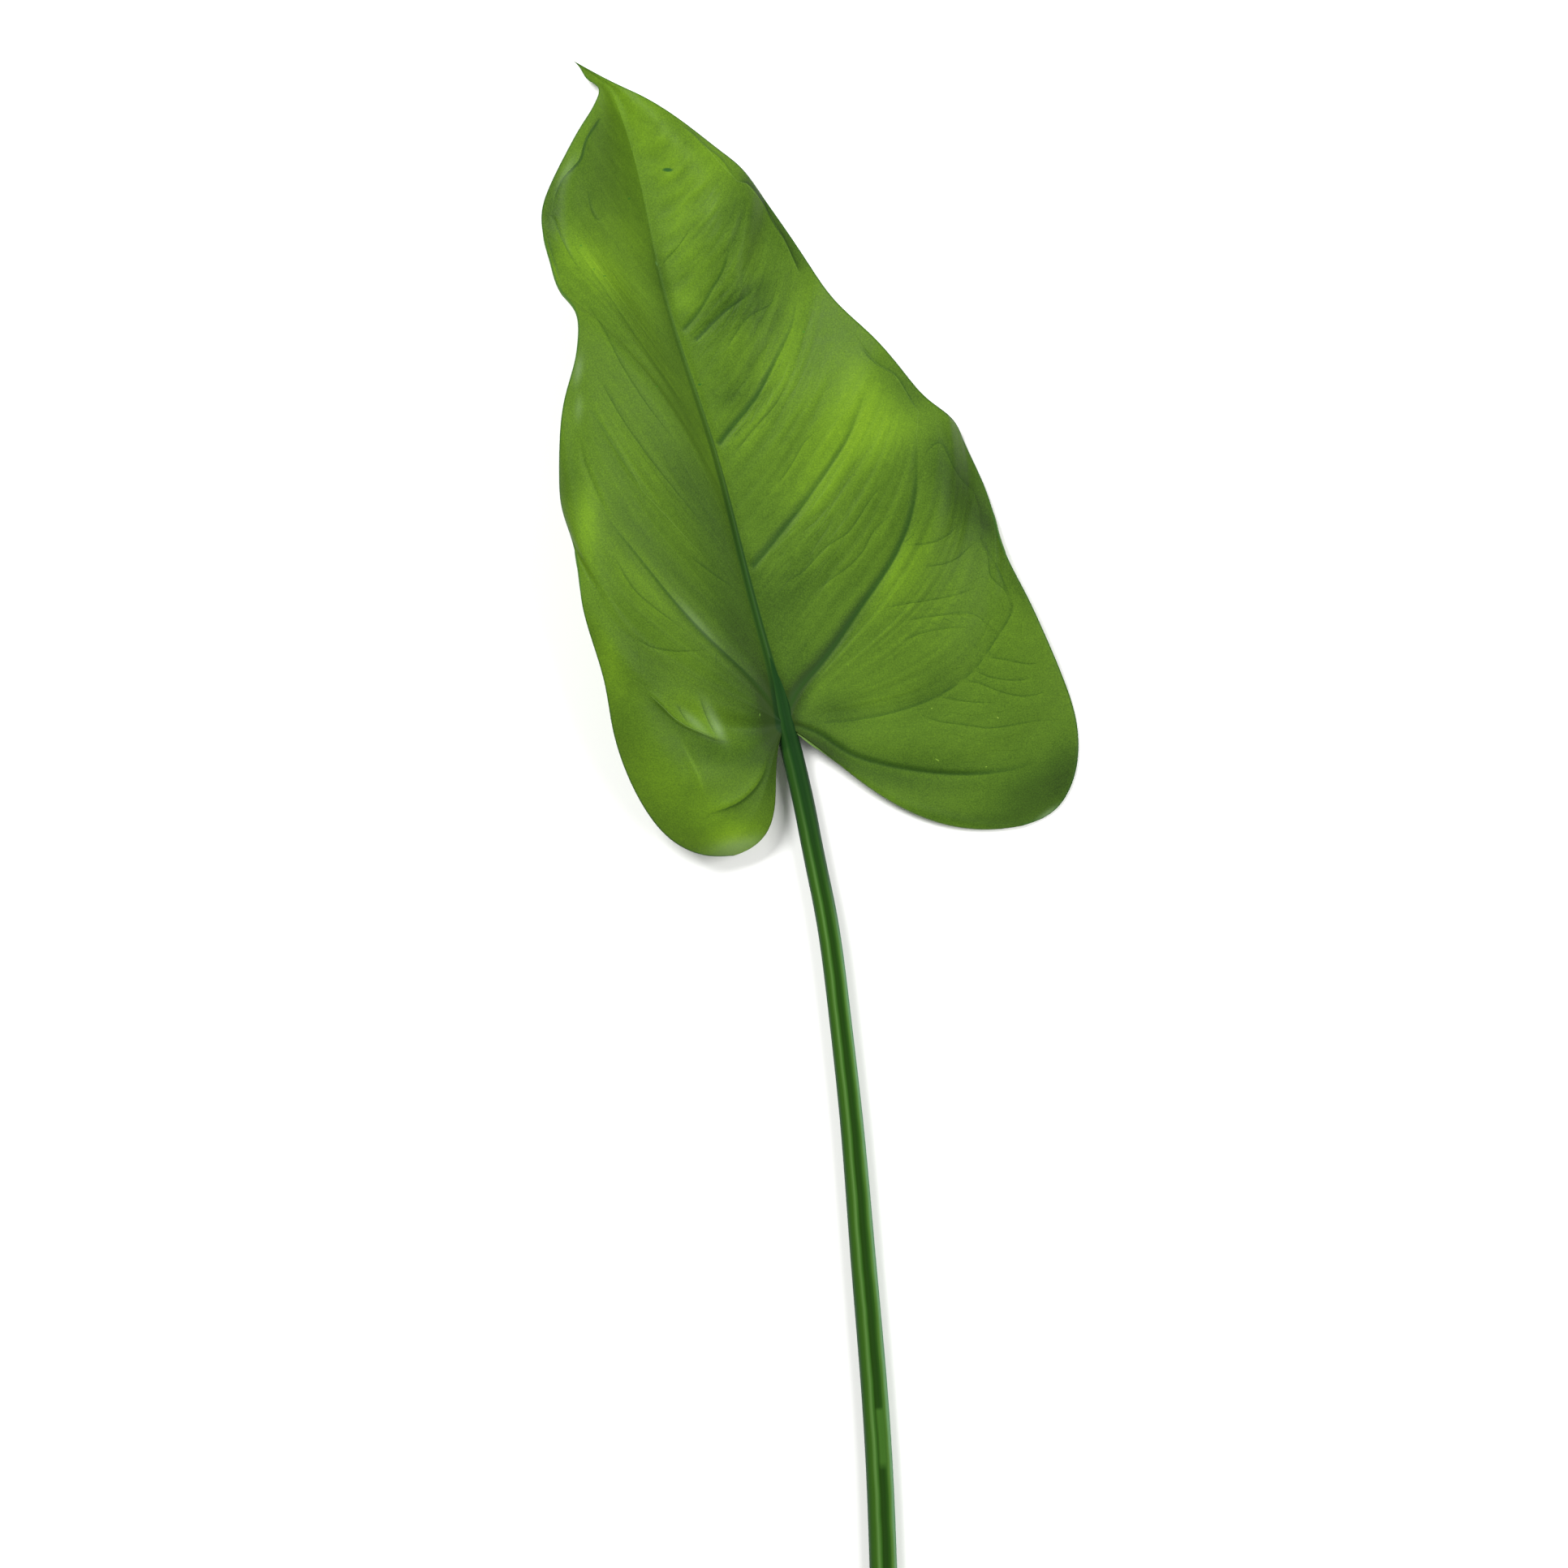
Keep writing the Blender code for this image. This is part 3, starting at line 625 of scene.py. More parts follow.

# Painted light and shade, with a little of the leaf's own uneven colour: where the blade is drawn
# lighter or darker than its form alone makes it under these lights.
PAINTED_LIGHT_AND_SHADE = table_of(
    Patch,
    # Beside the midrib and round the junction.
    ((-2.0, 0.0), 11.0, 8.0, 60.0, -0.9),
    ((-15.0, 47.0), 38.0, 12.0, -70.0, -0.46),
    ((-31.0, 76.0), 14.0, 5.0, -60.0, -0.32),
    ((-21.0, 78.0), 13.0, 3.0, -73.0, 0.34),
    ((-14.0, 26.0), 14.0, 5.0, -65.0, -0.26),
    ((-6.0, 12.0), 18.0, 7.0, -65.0, -0.45),
    ((-5.0, 9.0), 8.0, 3.0, -70.0, -0.45),
    ((0.5, 15.0), 9.0, 2.5, -75.0, 0.15),
    ((-10.0, 57.0), 9.0, 5.0, -60.0, 0.25),
    ((-17.0, 11.0), 9.0, 6.0, -50.0, -0.28),
    ((-12.0, -8.0), 11.0, 8.0, 0.0, -0.12),
    ((-4.0, -15.0), 9.0, 2.2, 85.0, -0.35),
    ((8.0, 7.0), 9.0, 2.5, 58.0, 0.32),
    ((-8.0, 88.0), 9.0, 6.0, 45.0, 0.18),
    ((-15.5, 101.0), 7.0, 3.5, 20.0, -0.38),
    ((-37.5, 136.0), 10.0, 1.8, -75.0, -0.42),
    ((-31.0, 148.0), 18.0, 6.0, -72.0, 0.2),
    ((-49.0, 151.0), 10.0, 5.0, -50.0, 0.3),
    ((-42.0, 127.0), 15.0, 4.5, -70.0, 0.3),
    ((-31.0, 130.0), 5.0, 4.0, 0.0, 0.35),
    ((-49.0, 191.0), 12.0, 5.0, -38.0, 0.3),
    # The left half, from the tip down.
    ((-59.0, 167.0), 20.0, 8.0, 72.0, -0.2, Side.LEFT),
    ((-57.0, 140.0), 13.0, 6.0, -48.0, 0.58),
    ((-36.0, 120.0), 14.0, 5.0, -60.0, -0.25, Side.LEFT),
    ((-65.0, 75.0), 9.0, 5.0, 80.0, -0.3),
    ((-60.0, 60.0), 12.0, 4.0, 90.0, 0.5),
    ((-71.5, 154.0), 14.0, 3.2, 87.0, -0.5),
    ((-42.0, 42.0), 13.0, 4.5, -50.0, 0.26),
    ((-22.0, -26.0), 6.0, 5.0, 0.0, 0.25),
    ((-33.0, 44.0), 32.0, 5.0, -50.0, -0.28),
    ((-43.0, 19.0), 13.0, 7.0, -62.0, -0.24),
    ((-53.0, 19.0), 10.0, 4.0, -75.0, 0.36),
    ((-40.0, -14.0), 18.0, 8.0, -60.0, 0.29),
    ((-26.0, 3.5), 9.0, 4.0, -38.0, 0.35),
    ((-20.0, -9.5), 14.0, 4.0, -8.0, -0.28),
    ((-48.0, -2.0), 10.0, 6.0, -70.0, -0.2),
    ((-15.0, -36.0), 9.0, 7.0, 0.0, 0.9),
    # The right half, from the tip down.
    ((-32.0, 172.0), 22.0, 14.0, -50.0, 0.4),
    ((-3.0, 152.0), 14.0, 6.0, -55.0, -0.28),
    ((-32.0, 182.0), 8.0, 4.0, -40.0, -0.3),
    ((-14.0, 156.0), 14.0, 7.0, 80.0, -0.36),
    ((-14.5, 119.0), 8.0, 5.0, 60.0, 0.36),
    ((-5.0, 112.0), 12.0, 3.0, 62.0, 0.2),
    ((-13.0, 126.0), 12.0, 9.0, 50.0, -0.56),
    ((1.0, 115.0), 14.0, 4.0, 75.0, 0.35),
    ((25.0, 103.0), 18.0, 12.0, 60.0, 0.55),
    ((33.0, 107.0), 15.0, 6.0, -48.0, -0.5),
    ((12.0, 79.0), 15.0, 7.0, 58.0, 0.42),
    ((35.0, 46.0), 10.0, 4.0, 60.0, 0.5),
    ((55.5, 71.5), 19.0, 9.5, -64.0, -0.76),
    ((36.0, 47.0), 7.0, 2.5, 58.0, -0.22),
    ((41.0, 63.0), 8.0, 4.0, 75.0, -0.25),
    ((36.0, 91.0), 16.0, 7.0, 20.0, 0.4),
    ((71.0, 44.0), 11.0, 3.5, -62.0, -0.34),
    ((62.0, 62.0), 6.0, 3.0, -60.0, -0.45),
    ((2.0, 42.0), 14.0, 7.0, 60.0, -0.3),
    ((12.0, 26.0), 20.0, 8.0, 60.0, -0.25),
    ((14.0, 22.0), 16.0, 3.5, 57.0, -0.2),
    ((5.5, 12.0), 8.0, 2.4, 62.0, -0.4),
    # The right lobe.
    ((17.0, 4.0), 7.0, 5.0, 0.0, -0.36),
    ((4.5, 0.5), 6.0, 3.0, -25.0, 0.34),
    ((31.0, -15.0), 10.0, 3.0, -18.0, -0.25),
    ((45.0, 10.0), 9.0, 5.0, 40.0, -0.2),
    ((50.0, 0.0), 35.0, 20.0, 0.0, -0.13),
    ((11.5, -7.5), 11.0, 4.2, -32.0, -0.95),
    ((40.0, -14.0), 26.0, 6.0, -5.0, -0.25),
    ((50.0, -19.0), 16.0, 4.0, 0.0, -0.1),
    ((50.0, -29.0), 22.0, 3.0, -5.0, -0.35),
    ((74.0, -25.0), 14.0, 10.0, 40.0, -0.62),
    ((87.0, -15.0), 11.0, 7.0, 66.0, -0.6),
)

# Where the skin between the side veins is most wrinkled.
WRINKLED = table_of(
    Patch,
    ((-12.0, 130.0), 20.0, 13.0, 50.0, 0.6, Side.RIGHT),
    ((-8.0, 100.0), 16.0, 9.0, 45.0, 0.5, Side.RIGHT),
    ((8.0, 58.0), 24.0, 14.0, 50.0, 0.6, Side.RIGHT),
    ((-50.0, 125.0), 24.0, 12.0, -55.0, 0.45, Side.LEFT),
    ((-30.0, 70.0), 26.0, 12.0, -55.0, 0.35, Side.LEFT),
    ((-40.0, 15.0), 16.0, 10.0, -40.0, 0.12, Side.LEFT),
)


@dataclass(frozen=True)
class LaminaFinish:
    """Living leaf blade, grown and waxed by its own cuticle.

    The eye sees a satin green skin, darker and bluer on the veins, ribbed between them, with a fine
    grain of cells under the waxy cuticle. Painted light and shade lie in its tone: yellower where it
    is thin and where light is painted on, darker where shade is painted, with a painted sheen in places.

    Attributes:
        tones: the skin's colours from the darkest tone, -1, to the lightest, 1, which also draw its painted
            light and shade.
        vein: colour of the strong veins' dark lines.
        knot: colour of the midrib where it is widest, at the junction.
        midrib: the places and colours across the midrib's band, from its left to its right.
        margin: colour of the thin edge.
        under: colour of the lower face.
        wax: colour of the painted sheen, a painted highlight on the waxy cuticle.
        cloud_mm: size of the broad, faint differences in colour.
        mottle_mm: size of the skin's mottling.
        grain_mm: size of the skin's grain. Real cells are about 0.05 mm, too fine to be seen here.
        cell_mm: size of the raised cells, drawn coarser than life for the same reason.
        furrow_mm: spacing of the wrinkles along the midrib.
        noise_shares: how strongly clouds, mottling and grain change the tone.
        crest_light_share: painted light: how much lighter the crests of the ripples are drawn.
        furrow_shade_share: painted shade: how much lighter the wrinkles are drawn, or darker if negative.
        fields: the attributes that the material reads.
    """

    tones: tuple = ("#24380E", "#344E12", "#486518", "#5C7D1A", "#71921D")
    vein: str = "#1F4416"
    knot: str = "#12300F"
    midrib: tuple = (
        (0.0, "#2A4915"), (0.26, "#19390D"), (0.48, "#264816"), (0.76, "#15330C"), (1.0, "#234316"),
    )
    margin: str = "#274F1E"
    under: str = "#607D3E"
    # The painted sheen's colour: painted highlight, not a colour of the wax itself.
    wax: str = "#8FA57F"
    cloud_mm: float = 45.0
    mottle_mm: float = 3.0
    grain_mm: float = 0.40
    cell_mm: float = 0.6
    furrow_mm: float = 3.4
    noise_shares: tuple = (0.5, 0.25, 1.1)
    crest_light_share: float = 0.30
    furrow_shade_share: float = -0.22
    fields: tuple = (*SKIN_FIELDS, *LINE_FIELDS, "under", "wrinkled", "along", "out")

    def material(self) -> Material:
        """Builds the blade's material.

        Returns:
            The material, which reads Object coordinates and the blade's own attributes.
        """
        material, add = new_material("Calla leaf blade")
        place = add("ShaderNodeTexCoord")["Object"]
        read = {name: add("ShaderNodeAttribute", attribute_name=name)["Fac"] for name in self.fields}
        noises = [
            add("ShaderNodeTexNoise", {"Vector": place, "Scale": 1.0 / (size * METRES), "Detail": detail})
            for size, detail in ((self.cloud_mm, 2.0), (self.mottle_mm, 4.0), (self.grain_mm, 2.0))
        ]
        wrinkle = self.wrinkles(add, read)
        core = self.core(add, read)
        changes = [
            (add("ShaderNodeMath", (noise[0], 0.5), operation="SUBTRACT")[0], share)
            for noise, share in zip(noises, self.noise_shares)
        ]
        # Painted light on the ripples' crests, painted shade in the wrinkles, and painted light and shade
        # beside the strong veins.
        changes += [(read["wave"], self.crest_light_share), (wrinkle, self.furrow_shade_share)]
        changes += [(self.beside_line(add, read), 1.0), (core, -1.0)]
        tone = read["tone"]
        for change, share in changes:
            tone = add("ShaderNodeMath", (change, share, tone), operation="MULTIPLY_ADD")[0]
        colour = self.coloured(add, tone, core, read)
        for fleck in FLECKS:
            colour = self.with_fleck(add, colour, place, fleck)
        cells = add("ShaderNodeTexVoronoi", {
            "Vector": place, "Scale": 1.0 / (self.cell_mm * METRES),
        }, feature="SMOOTH_F1")["Distance"]
        skin = add("ShaderNodeBump", {"Height": cells, "Distance": 0.00004, "Strength": 0.5})[0]
        ribbed = add("ShaderNodeBump", {
            "Height": wrinkle, "Distance": 0.0002, "Strength": 0.5, "Normal": skin,
        }, invert=True)[0]
        rough = add("ShaderNodeMapRange", {"Value": noises[1][0], "To Min": 0.40, "To Max": 0.56})
        shader = add("ShaderNodeBsdfPrincipled", {
            "Base Color": colour, "Roughness": rough[0], "Normal": ribbed,
            "IOR": 1.4, "Specular IOR Level": 0.1,
        })
        add("ShaderNodeOutputMaterial", {"Surface": shader[0]})
        return material

    def coloured(self, add: Adder, tone: Socket, core: Socket, read: dict) -> Socket:
        """Turns the tone into colour and lays the veins, the margin, the lower face and wax over it.

        Args:
            add: adds a node to the material.
            tone: the skin's tone.
            core: how dark the strong veins' lines are.
            read: the attributes by name.

        Returns:
            The colour.
        """
        place = add("ShaderNodeMapRange", (tone, -1.0, 1.0))[0]
        stops = tuple(zip(np.linspace(0.0, 1.0, len(self.tones)), self.tones))
        colour = add("ShaderNodeValToRGB", {"Fac": place}, stops)["Color"]
        tinted = add("ShaderNodeMath", (core, 0.9), operation="MULTIPLY", use_clamp=True)[0]
        colour = add("ShaderNodeMix", {
            SHARE: tinted, BELOW: colour, ABOVE: self.vein,
        }, data_type="RGBA")[MIXED]
        colour = self.with_midrib(add, colour, read["from_midrib"], read["midrib_width"])
        edge = add("ShaderNodeMapRange", (read["from_edge"], 0.1, 0.6, 0.6, 0.0), **SMOOTH)[0]
        for share, code in ((edge, self.margin), (read["under"], self.under), (read["sheen"], self.wax)):
            colour = add("ShaderNodeMix", {
                SHARE: share, BELOW: colour, ABOVE: code,
            }, data_type="RGBA")[MIXED]
        return colour

    def wrinkles(self, add: Adder, read: dict) -> Socket:
        """Draws fine furrows that run out from the midrib with the side veins.

        Args:
            add: adds a node to the material.
            read: the attributes by name.

        Returns:
            How deep the furrow is, from nothing to one.
        """
        across = add("ShaderNodeMath", (read["along"], 1.0 / self.furrow_mm), operation="MULTIPLY")
        # A furrow runs about a fifth of the way out before it changes.
        out = add("ShaderNodeMath", (read["out"], 5.0), operation="MULTIPLY")
        lie = add("ShaderNodeCombineXYZ", (across[0], out[0]))[0]
        noise = add("ShaderNodeTexNoise", {"Vector": lie, "Scale": 1.0, "Detail": 1.0, "Distortion": 0.4})
        off = add("ShaderNodeMath", (noise[0], 0.5), operation="SUBTRACT")[0]
        gap = add("ShaderNodeMath", (off,), operation="ABSOLUTE")[0]
        furrow = add("ShaderNodeMapRange", (gap, 0.0, 0.11, 1.0, 0.0), **SMOOTH)[0]
        return add("ShaderNodeMath", (furrow, read["wrinkled"]), operation="MULTIPLY")[0]

    def core(self, add: Adder, read: dict) -> Socket:
        """Draws the strong veins' dark lines, sharp on the right and soft on the left, where they run out
        as painted shade.

        Args:
            add: adds a node to the material.
            read: the attributes by name.

        Returns:
            How dark the line is.
        """
        dark = read["line_core"]
        for limits in ((*CORE_RISE, 0.0, 1.0), (*CORE_FALL, 1.0, 0.0)):
            within = add("ShaderNodeMapRange", (read["line_aside"], *limits), **SMOOTH)[0]
            dark = add("ShaderNodeMath", (dark, within), operation="MULTIPLY")[0]
        return dark

    def beside_line(self, add: Adder, read: dict) -> Socket:
        """Finds which side of a strong vein a point lies on, for the painted light and shade beside it.

        Args:
            add: adds a node to the material.
            read: the attributes by name.

        Returns:
            The painted light or shade of that side.
        """
        left, right = read["line_left"], read["line_right"]
        side = add("ShaderNodeMapRange", (read["line_aside"], -0.7, 0.1), **SMOOTH)[0]
        change = add("ShaderNodeMath", (left, right), operation="SUBTRACT")[0]
        return add("ShaderNodeMath", (change, side, right), operation="MULTIPLY_ADD")[0]

    def with_midrib(self, add: Adder, colour: Socket, aside: Socket, width: Socket) -> Socket:
        """Draws the midrib's band, with two dark lines and a lighter one between them.

        Args:
            add: adds a node to the material.
            colour: what is there.
            aside: distance from the midrib in millimetres, positive on the right.
            width: half the width of the band there.

        Returns:
            The mixed colour.
        """
        # The middle of the band lies 0.25 mm left of the midrib.
        moved = add("ShaderNodeMath", (aside, 0.25), operation="ADD")[0]
        share = add("ShaderNodeMath", (moved, width), operation="DIVIDE")[0]
        place = add("ShaderNodeMapRange", (share, -1.2, 1.2))[0]
        band = add("ShaderNodeValToRGB", {"Fac": place}, self.midrib)["Color"]
        # Near the junction the band is wide and as dark as the knot.
        knotted = add("ShaderNodeMapRange", (width, 1.15, 1.7), **SMOOTH)[0]
        band = add("ShaderNodeMix", {
            SHARE: knotted, BELOW: band, ABOVE: self.knot,
        }, data_type="RGBA")[MIXED]
        # The band begins on its left, ends on its right, and fades where it is narrow.
        shown = add("ShaderNodeMapRange", (width, 0.40, 1.05, 0.0, 0.93))[0]
        for limits in ((-1.45, -0.95, 0.0, 1.0), (0.85, 1.15, 1.0, 0.0)):
            within = add("ShaderNodeMapRange", (share, *limits), **SMOOTH)[0]
            shown = add("ShaderNodeMath", (shown, within), operation="MULTIPLY")[0]
        mix = add("ShaderNodeMix", {SHARE: shown, BELOW: colour, ABOVE: band}, data_type="RGBA")
        return mix[MIXED]

    def with_fleck(self, add: Adder, colour: Socket, place: Socket, fleck: Fleck) -> Socket:
        """Draws one small mark.

        Args:
            add: adds a node to the material.
            colour: what is there.
            place: Object coordinates.
            fleck: the mark.

        Returns:
            The mixed colour.
        """
        middle = (np.array([*fleck.at, 0.0]) + JUNCTION) * METRES
        size = np.array([fleck.length, fleck.width]) * METRES / 2.0
        # The third scale is so large that the height of a point makes no difference.
        mapped = add("ShaderNodeMapping", {
            "Vector": place,
            "Location": (middle[0], middle[1], 0.0),
            "Rotation": (0.0, 0.0, np.radians(fleck.turn)),
            "Scale": (size[0], size[1], 1.0e6),
        }, vector_type="TEXTURE")[0]
        far = add("ShaderNodeVectorMath", (mapped,), operation="LENGTH")["Value"]
        share = add("ShaderNodeMapRange", (far, 0.5, 1.2, 0.9, 0.0), **SMOOTH)[0]
        return add("ShaderNodeMix", {
            SHARE: share, BELOW: colour, ABOVE: fleck.colour,
        }, data_type="RGBA")[MIXED]


@dataclass(frozen=True)
class StalkFinish:
    """Fleshy leaf stalk, grown with lengthwise fibres under a smooth wet-looking skin.

    Across it lie painted light and shade: long soft bands, lighter left of the middle and darker on the
    right, and a painted pale reflection along the right edge.

    Attributes:
        stripes: the places and colours of the painted light and shade across the stalk, from
            its left to its right.
        knot: colour of the stalk's upper end, also laid on as painted shade there.
        gap: colour where the dark stripe stops for a stretch.
        stripe_mm: width of a fibre. Real ones are about 0.1 mm, too fine to be seen here.
        drift_mm: size of the slow drift that bends the stripes.
    """

    stripes: tuple = (
        (0.0, "#234529"), (0.08, "#284A18"), (0.24, "#305315"), (0.35, "#4E7236"), (0.43, "#31581C"),
        (0.50, "#1A3708"), (0.66, "#173605"), (0.76, "#20440A"), (0.85, "#436727"), (0.93, "#60885A"),
        (1.0, "#45724C"),
    )
    knot: str = "#113112"
    gap: str = "#33591A"
    stripe_mm: float = 0.35
    drift_mm: float = 16.667

    def material(self) -> Material:
        """Builds the stalk's material.

        Returns:
            The material, which reads Object coordinates and the stalk's own attributes.
        """
        material, add = new_material("Calla leaf stalk")
        place = add("ShaderNodeTexCoord")["Object"]
        across = add("ShaderNodeAttribute", attribute_name="across")["Fac"]
        along = add("ShaderNodeAttribute", attribute_name="along")["Fac"]
        # The stalk is about 4 mm in radius, and its fibres are some hundred times as long as wide.
        lie = add("ShaderNodeCombineXYZ", (across, along))[0]
        drawn_out = add("ShaderNodeMapping", {"Vector": lie, "Scale": (4.0 / self.stripe_mm, 0.03, 1.0)})
        fibre = add("ShaderNodeTexNoise", {"Vector": drawn_out[0], "Scale": 1.0, "Detail": 3.0})
        drift = add("ShaderNodeTexNoise", {
            "Vector": place, "Scale": 1.0 / (self.drift_mm * METRES), "Detail": 2.0,
        })
        moved = across
        for noise, share in ((drift, 0.16), (fibre, 0.14)):
            moved = add("ShaderNodeMath", (noise[0], share, moved), operation="MULTIPLY_ADD")[0]
        turn = add("ShaderNodeMapRange", (moved, -0.85, 1.15))[0]
        # The colours across the stalk are painted light and shade, with a painted reflection on the right.
        colour = add("ShaderNodeValToRGB", {"Fac": turn}, self.stripes)["Color"]
        masks = self.masks(add, turn, along)
        for share, code in (
            (masks["cleared"], self.gap), (masks["upper"], self.knot), (masks["shaded"], self.knot),
        ):
            colour = add("ShaderNodeMix", {
                SHARE: share, BELOW: colour, ABOVE: code,
            }, data_type="RGBA")[MIXED]
        bump = add("ShaderNodeBump", {"Height": fibre[0], "Distance": 0.00012, "Strength": 0.6})
        shader = add("ShaderNodeBsdfPrincipled", {
            "Base Color": colour, "Roughness": 0.5, "Normal": bump[0],
            "IOR": 1.4, "Specular IOR Level": 0.05,
        })
        add("ShaderNodeOutputMaterial", {"Surface": shader[0]})
        return material

    def masks(self, add: Adder, turn: Socket, along: Socket) -> dict[str, Socket]:
        """Finds where the stripes change along the stalk.

        The painted dark band stops for a stretch near the lower end. The upper end grows as dark as the
        knot, less on its lit left side: its own darker colour with painted shade. On the right it darkens
        sooner, as painted shade.

        Args:
            add: adds a node to the material.
            turn: how far round the stalk a point is, from its left to its right.
            along: how far along the stalk it is, in millimetres from the junction.

        Returns:
            The share of each change by its name: cleared, upper and shaded.
        """
        masks = {}
        for name, value, *limits, kind in (
            ("below", along, -210.8, -209.6, 1.0, 0.0, "LINEAR"),
            ("above", along, -229.0, -226.5, 0.0, 1.0, "LINEAR"),
            ("in_stripe", turn, 0.47, 0.56, 0.0, 1.0, "LINEAR"),
            ("inside", turn, 0.76, 0.84, 1.0, 0.0, "LINEAR"),
            ("rising", along, -62.0, -8.0, 0.0, 0.8, "SMOOTHSTEP"),
            ("left", turn, 0.15, 0.45, 0.6, 1.0, "LINEAR"),
            ("knotted", along, -14.0, -6.0, 0.0, 1.0, "LINEAR"),
            ("right", turn, 0.74, 0.88, 0.0, 1.0, "LINEAR"),
            ("high", along, -78.0, -40.0, 0.0, 0.75, "SMOOTHSTEP"),
        ):
            masks[name] = add("ShaderNodeMapRange", (value, *limits), interpolation_type=kind)[0]
        for name, first, second, operation in (
            ("bare", "below", "above", "MULTIPLY"),
            ("striped", "in_stripe", "inside", "MULTIPLY"),
            ("cleared", "bare", "striped", "MULTIPLY"),
            ("lit", "left", "knotted", "MAXIMUM"),
            ("upper", "rising", "lit", "MULTIPLY"),
            ("shaded", "right", "high", "MULTIPLY"),
        ):
            pair = (masks[first], masks[second])
            masks[name] = add("ShaderNodeMath", pair, operation=operation)[0]
        return masks


@dataclass(frozen=True)
class CutFinish:
    """Freshly cut stalk end, sliced with a knife: wet pale pith with darker strands.

    Attributes:
        pith: colour of the pith.
        strand: colour of the strands.
        strand_mm: spacing of the strands.
    """

    pith: str = "#93A878"
    strand: str = "#608149"
    strand_mm: float = 0.9091

    def material(self) -> Material:
        """Builds the cut end's material.

        Returns:
            The material, which reads Object coordinates.
        """
        material, add = new_material("Cut stalk end")
        place = add("ShaderNodeTexCoord")["Object"]
        dots = add("ShaderNodeTexVoronoi", {"Vector": place, "Scale": 1.0 / (self.strand_mm * METRES)})
        share = add("ShaderNodeMapRange", (dots["Distance"], 0.15, 0.4, 1.0, 0.0))[0]
        mix = add("ShaderNodeMix", {SHARE: share, BELOW: self.pith, ABOVE: self.strand}, data_type="RGBA")
        bump = add("ShaderNodeBump", {"Height": dots["Distance"], "Distance": 0.0001, "Strength": 0.5})
        shader = add("ShaderNodeBsdfPrincipled", {
            "Base Color": mix[MIXED], "Roughness": 0.3, "Normal": bump[0], "IOR": 1.38,
        })
        add("ShaderNodeOutputMaterial", {"Surface": shader[0]})
        return material


@dataclass(frozen=True)
class FloorFinish:
    """Plain painted board: an even matt off-white with a faint roller grain.

    Attributes:
        colour: the paint's colour.
        grain_mm: size of the roller's grain.
    """

    colour: str = "#F4F4F2"
    grain_mm: float = 1.1111

    def material(self) -> Material:
        """Builds the floor's material.

        Returns:
            The material, which reads Object coordinates.
        """
        material, add = new_material("Matt painted board")
        place = add("ShaderNodeTexCoord")["Object"]
        grain = add("ShaderNodeTexNoise", {
            "Vector": place, "Scale": 1.0 / (self.grain_mm * METRES), "Detail": 2.0,
        })
        bump = add("ShaderNodeBump", {"Height": grain[0], "Distance": 0.00002, "Strength": 0.3})
        shader = add("ShaderNodeBsdfPrincipled", {
            "Base Color": self.colour, "Roughness": 0.9, "Normal": bump[0],
        })
        add("ShaderNodeOutputMaterial", {"Surface": shader[0]})
        return material


# What kind of input a Geometry Nodes tree has for each kind of value.
SOCKET_KINDS = {
    int: "NodeSocketInt", float: "NodeSocketFloat",
    Material: "NodeSocketMaterial", Object: "NodeSocketObject",
}


def new_group(name: str, values: dict) -> tuple[Tree, Adder, dict[str, Socket]]:
    """Starts a Geometry Nodes tree.

    Args:
        name: the tree's name.
        values: the value of each named input besides the geometry.

    Returns:
        The tree, the function that adds nodes to it, and its inputs by name.
    """
    tree = bpy.data.node_groups.new(name, "GeometryNodeTree")
    for way in ("INPUT", "OUTPUT"):
        tree.interface.new_socket("Geometry", in_out=way, socket_type="NodeSocketGeometry")
    for title, value in values.items():
        tree.interface.new_socket(title, in_out="INPUT", socket_type=SOCKET_KINDS[type(value)])
    add = partial(add_node, tree)
    return tree, add, dict(add("NodeGroupInput").items())


def linked(name: str, data: bpy.types.ID) -> Object:
    """Puts an object into the scene.

    Args:
        name: the object's name.
        data: the mesh, light or camera that it shows.

    Returns:
        The new object.
    """
    obj = bpy.data.objects.new(name, data)
    bpy.context.scene.collection.objects.link(obj)
    return obj


def grown(source: Object, tree: Tree, values: dict, name: str) -> Object:
    """Runs a Geometry Nodes tree on an object and keeps the result as a plain mesh.

    Args:
        source: the object that the tree starts from, removed afterwards.
        tree: the Geometry Nodes tree.
        values: the value of each named input.
        name: the name of the new piece.

    Returns:
        The new piece, at the origin.
    """
    modifier = source.modifiers.new(tree.name, "NODES")
    modifier.node_group = tree
    for item in tree.interface.items_tree:
        if item.name in values:
            modifier[item.identifier] = values[item.name]
    bpy.context.view_layer.update()
    graph = bpy.context.evaluated_depsgraph_get()
    data = bpy.data.meshes.new_from_object(source.evaluated_get(graph), depsgraph=graph)
    source.modifiers.remove(modifier)
    bpy.data.objects.remove(source)
    data.name = name
    return linked(name, data)


def link_mesh(name: str, points: Array, edges: list, faces: list) -> Object:
    """Puts a mesh into the scene.

    Args:
        name: the object's name.
        points: millimetres from the junction, one point a row.
        edges: pairs of point numbers.
        faces: point numbers round each face.

    Returns:
        The new object.
    """
    data = bpy.data.meshes.new(name)
    data.from_pydata(((points + JUNCTION) * METRES).tolist(), edges, faces)
    return linked(name, data)


def store(obj: Object, name: str, values: Array) -> None:
    """Stores a number or a vector for each point of a mesh.

    Args:
        obj: the mesh object.
        name: the attribute's name.
        values: one number or one row of three for each point.
    """
    kind, part = ("FLOAT_VECTOR", "vector") if values.ndim == 2 else ("FLOAT", "value")
    layer = obj.data.attributes.new(name, kind, "POINT")
    layer.data.foreach_set(part, values.astype(np.float32).ravel())


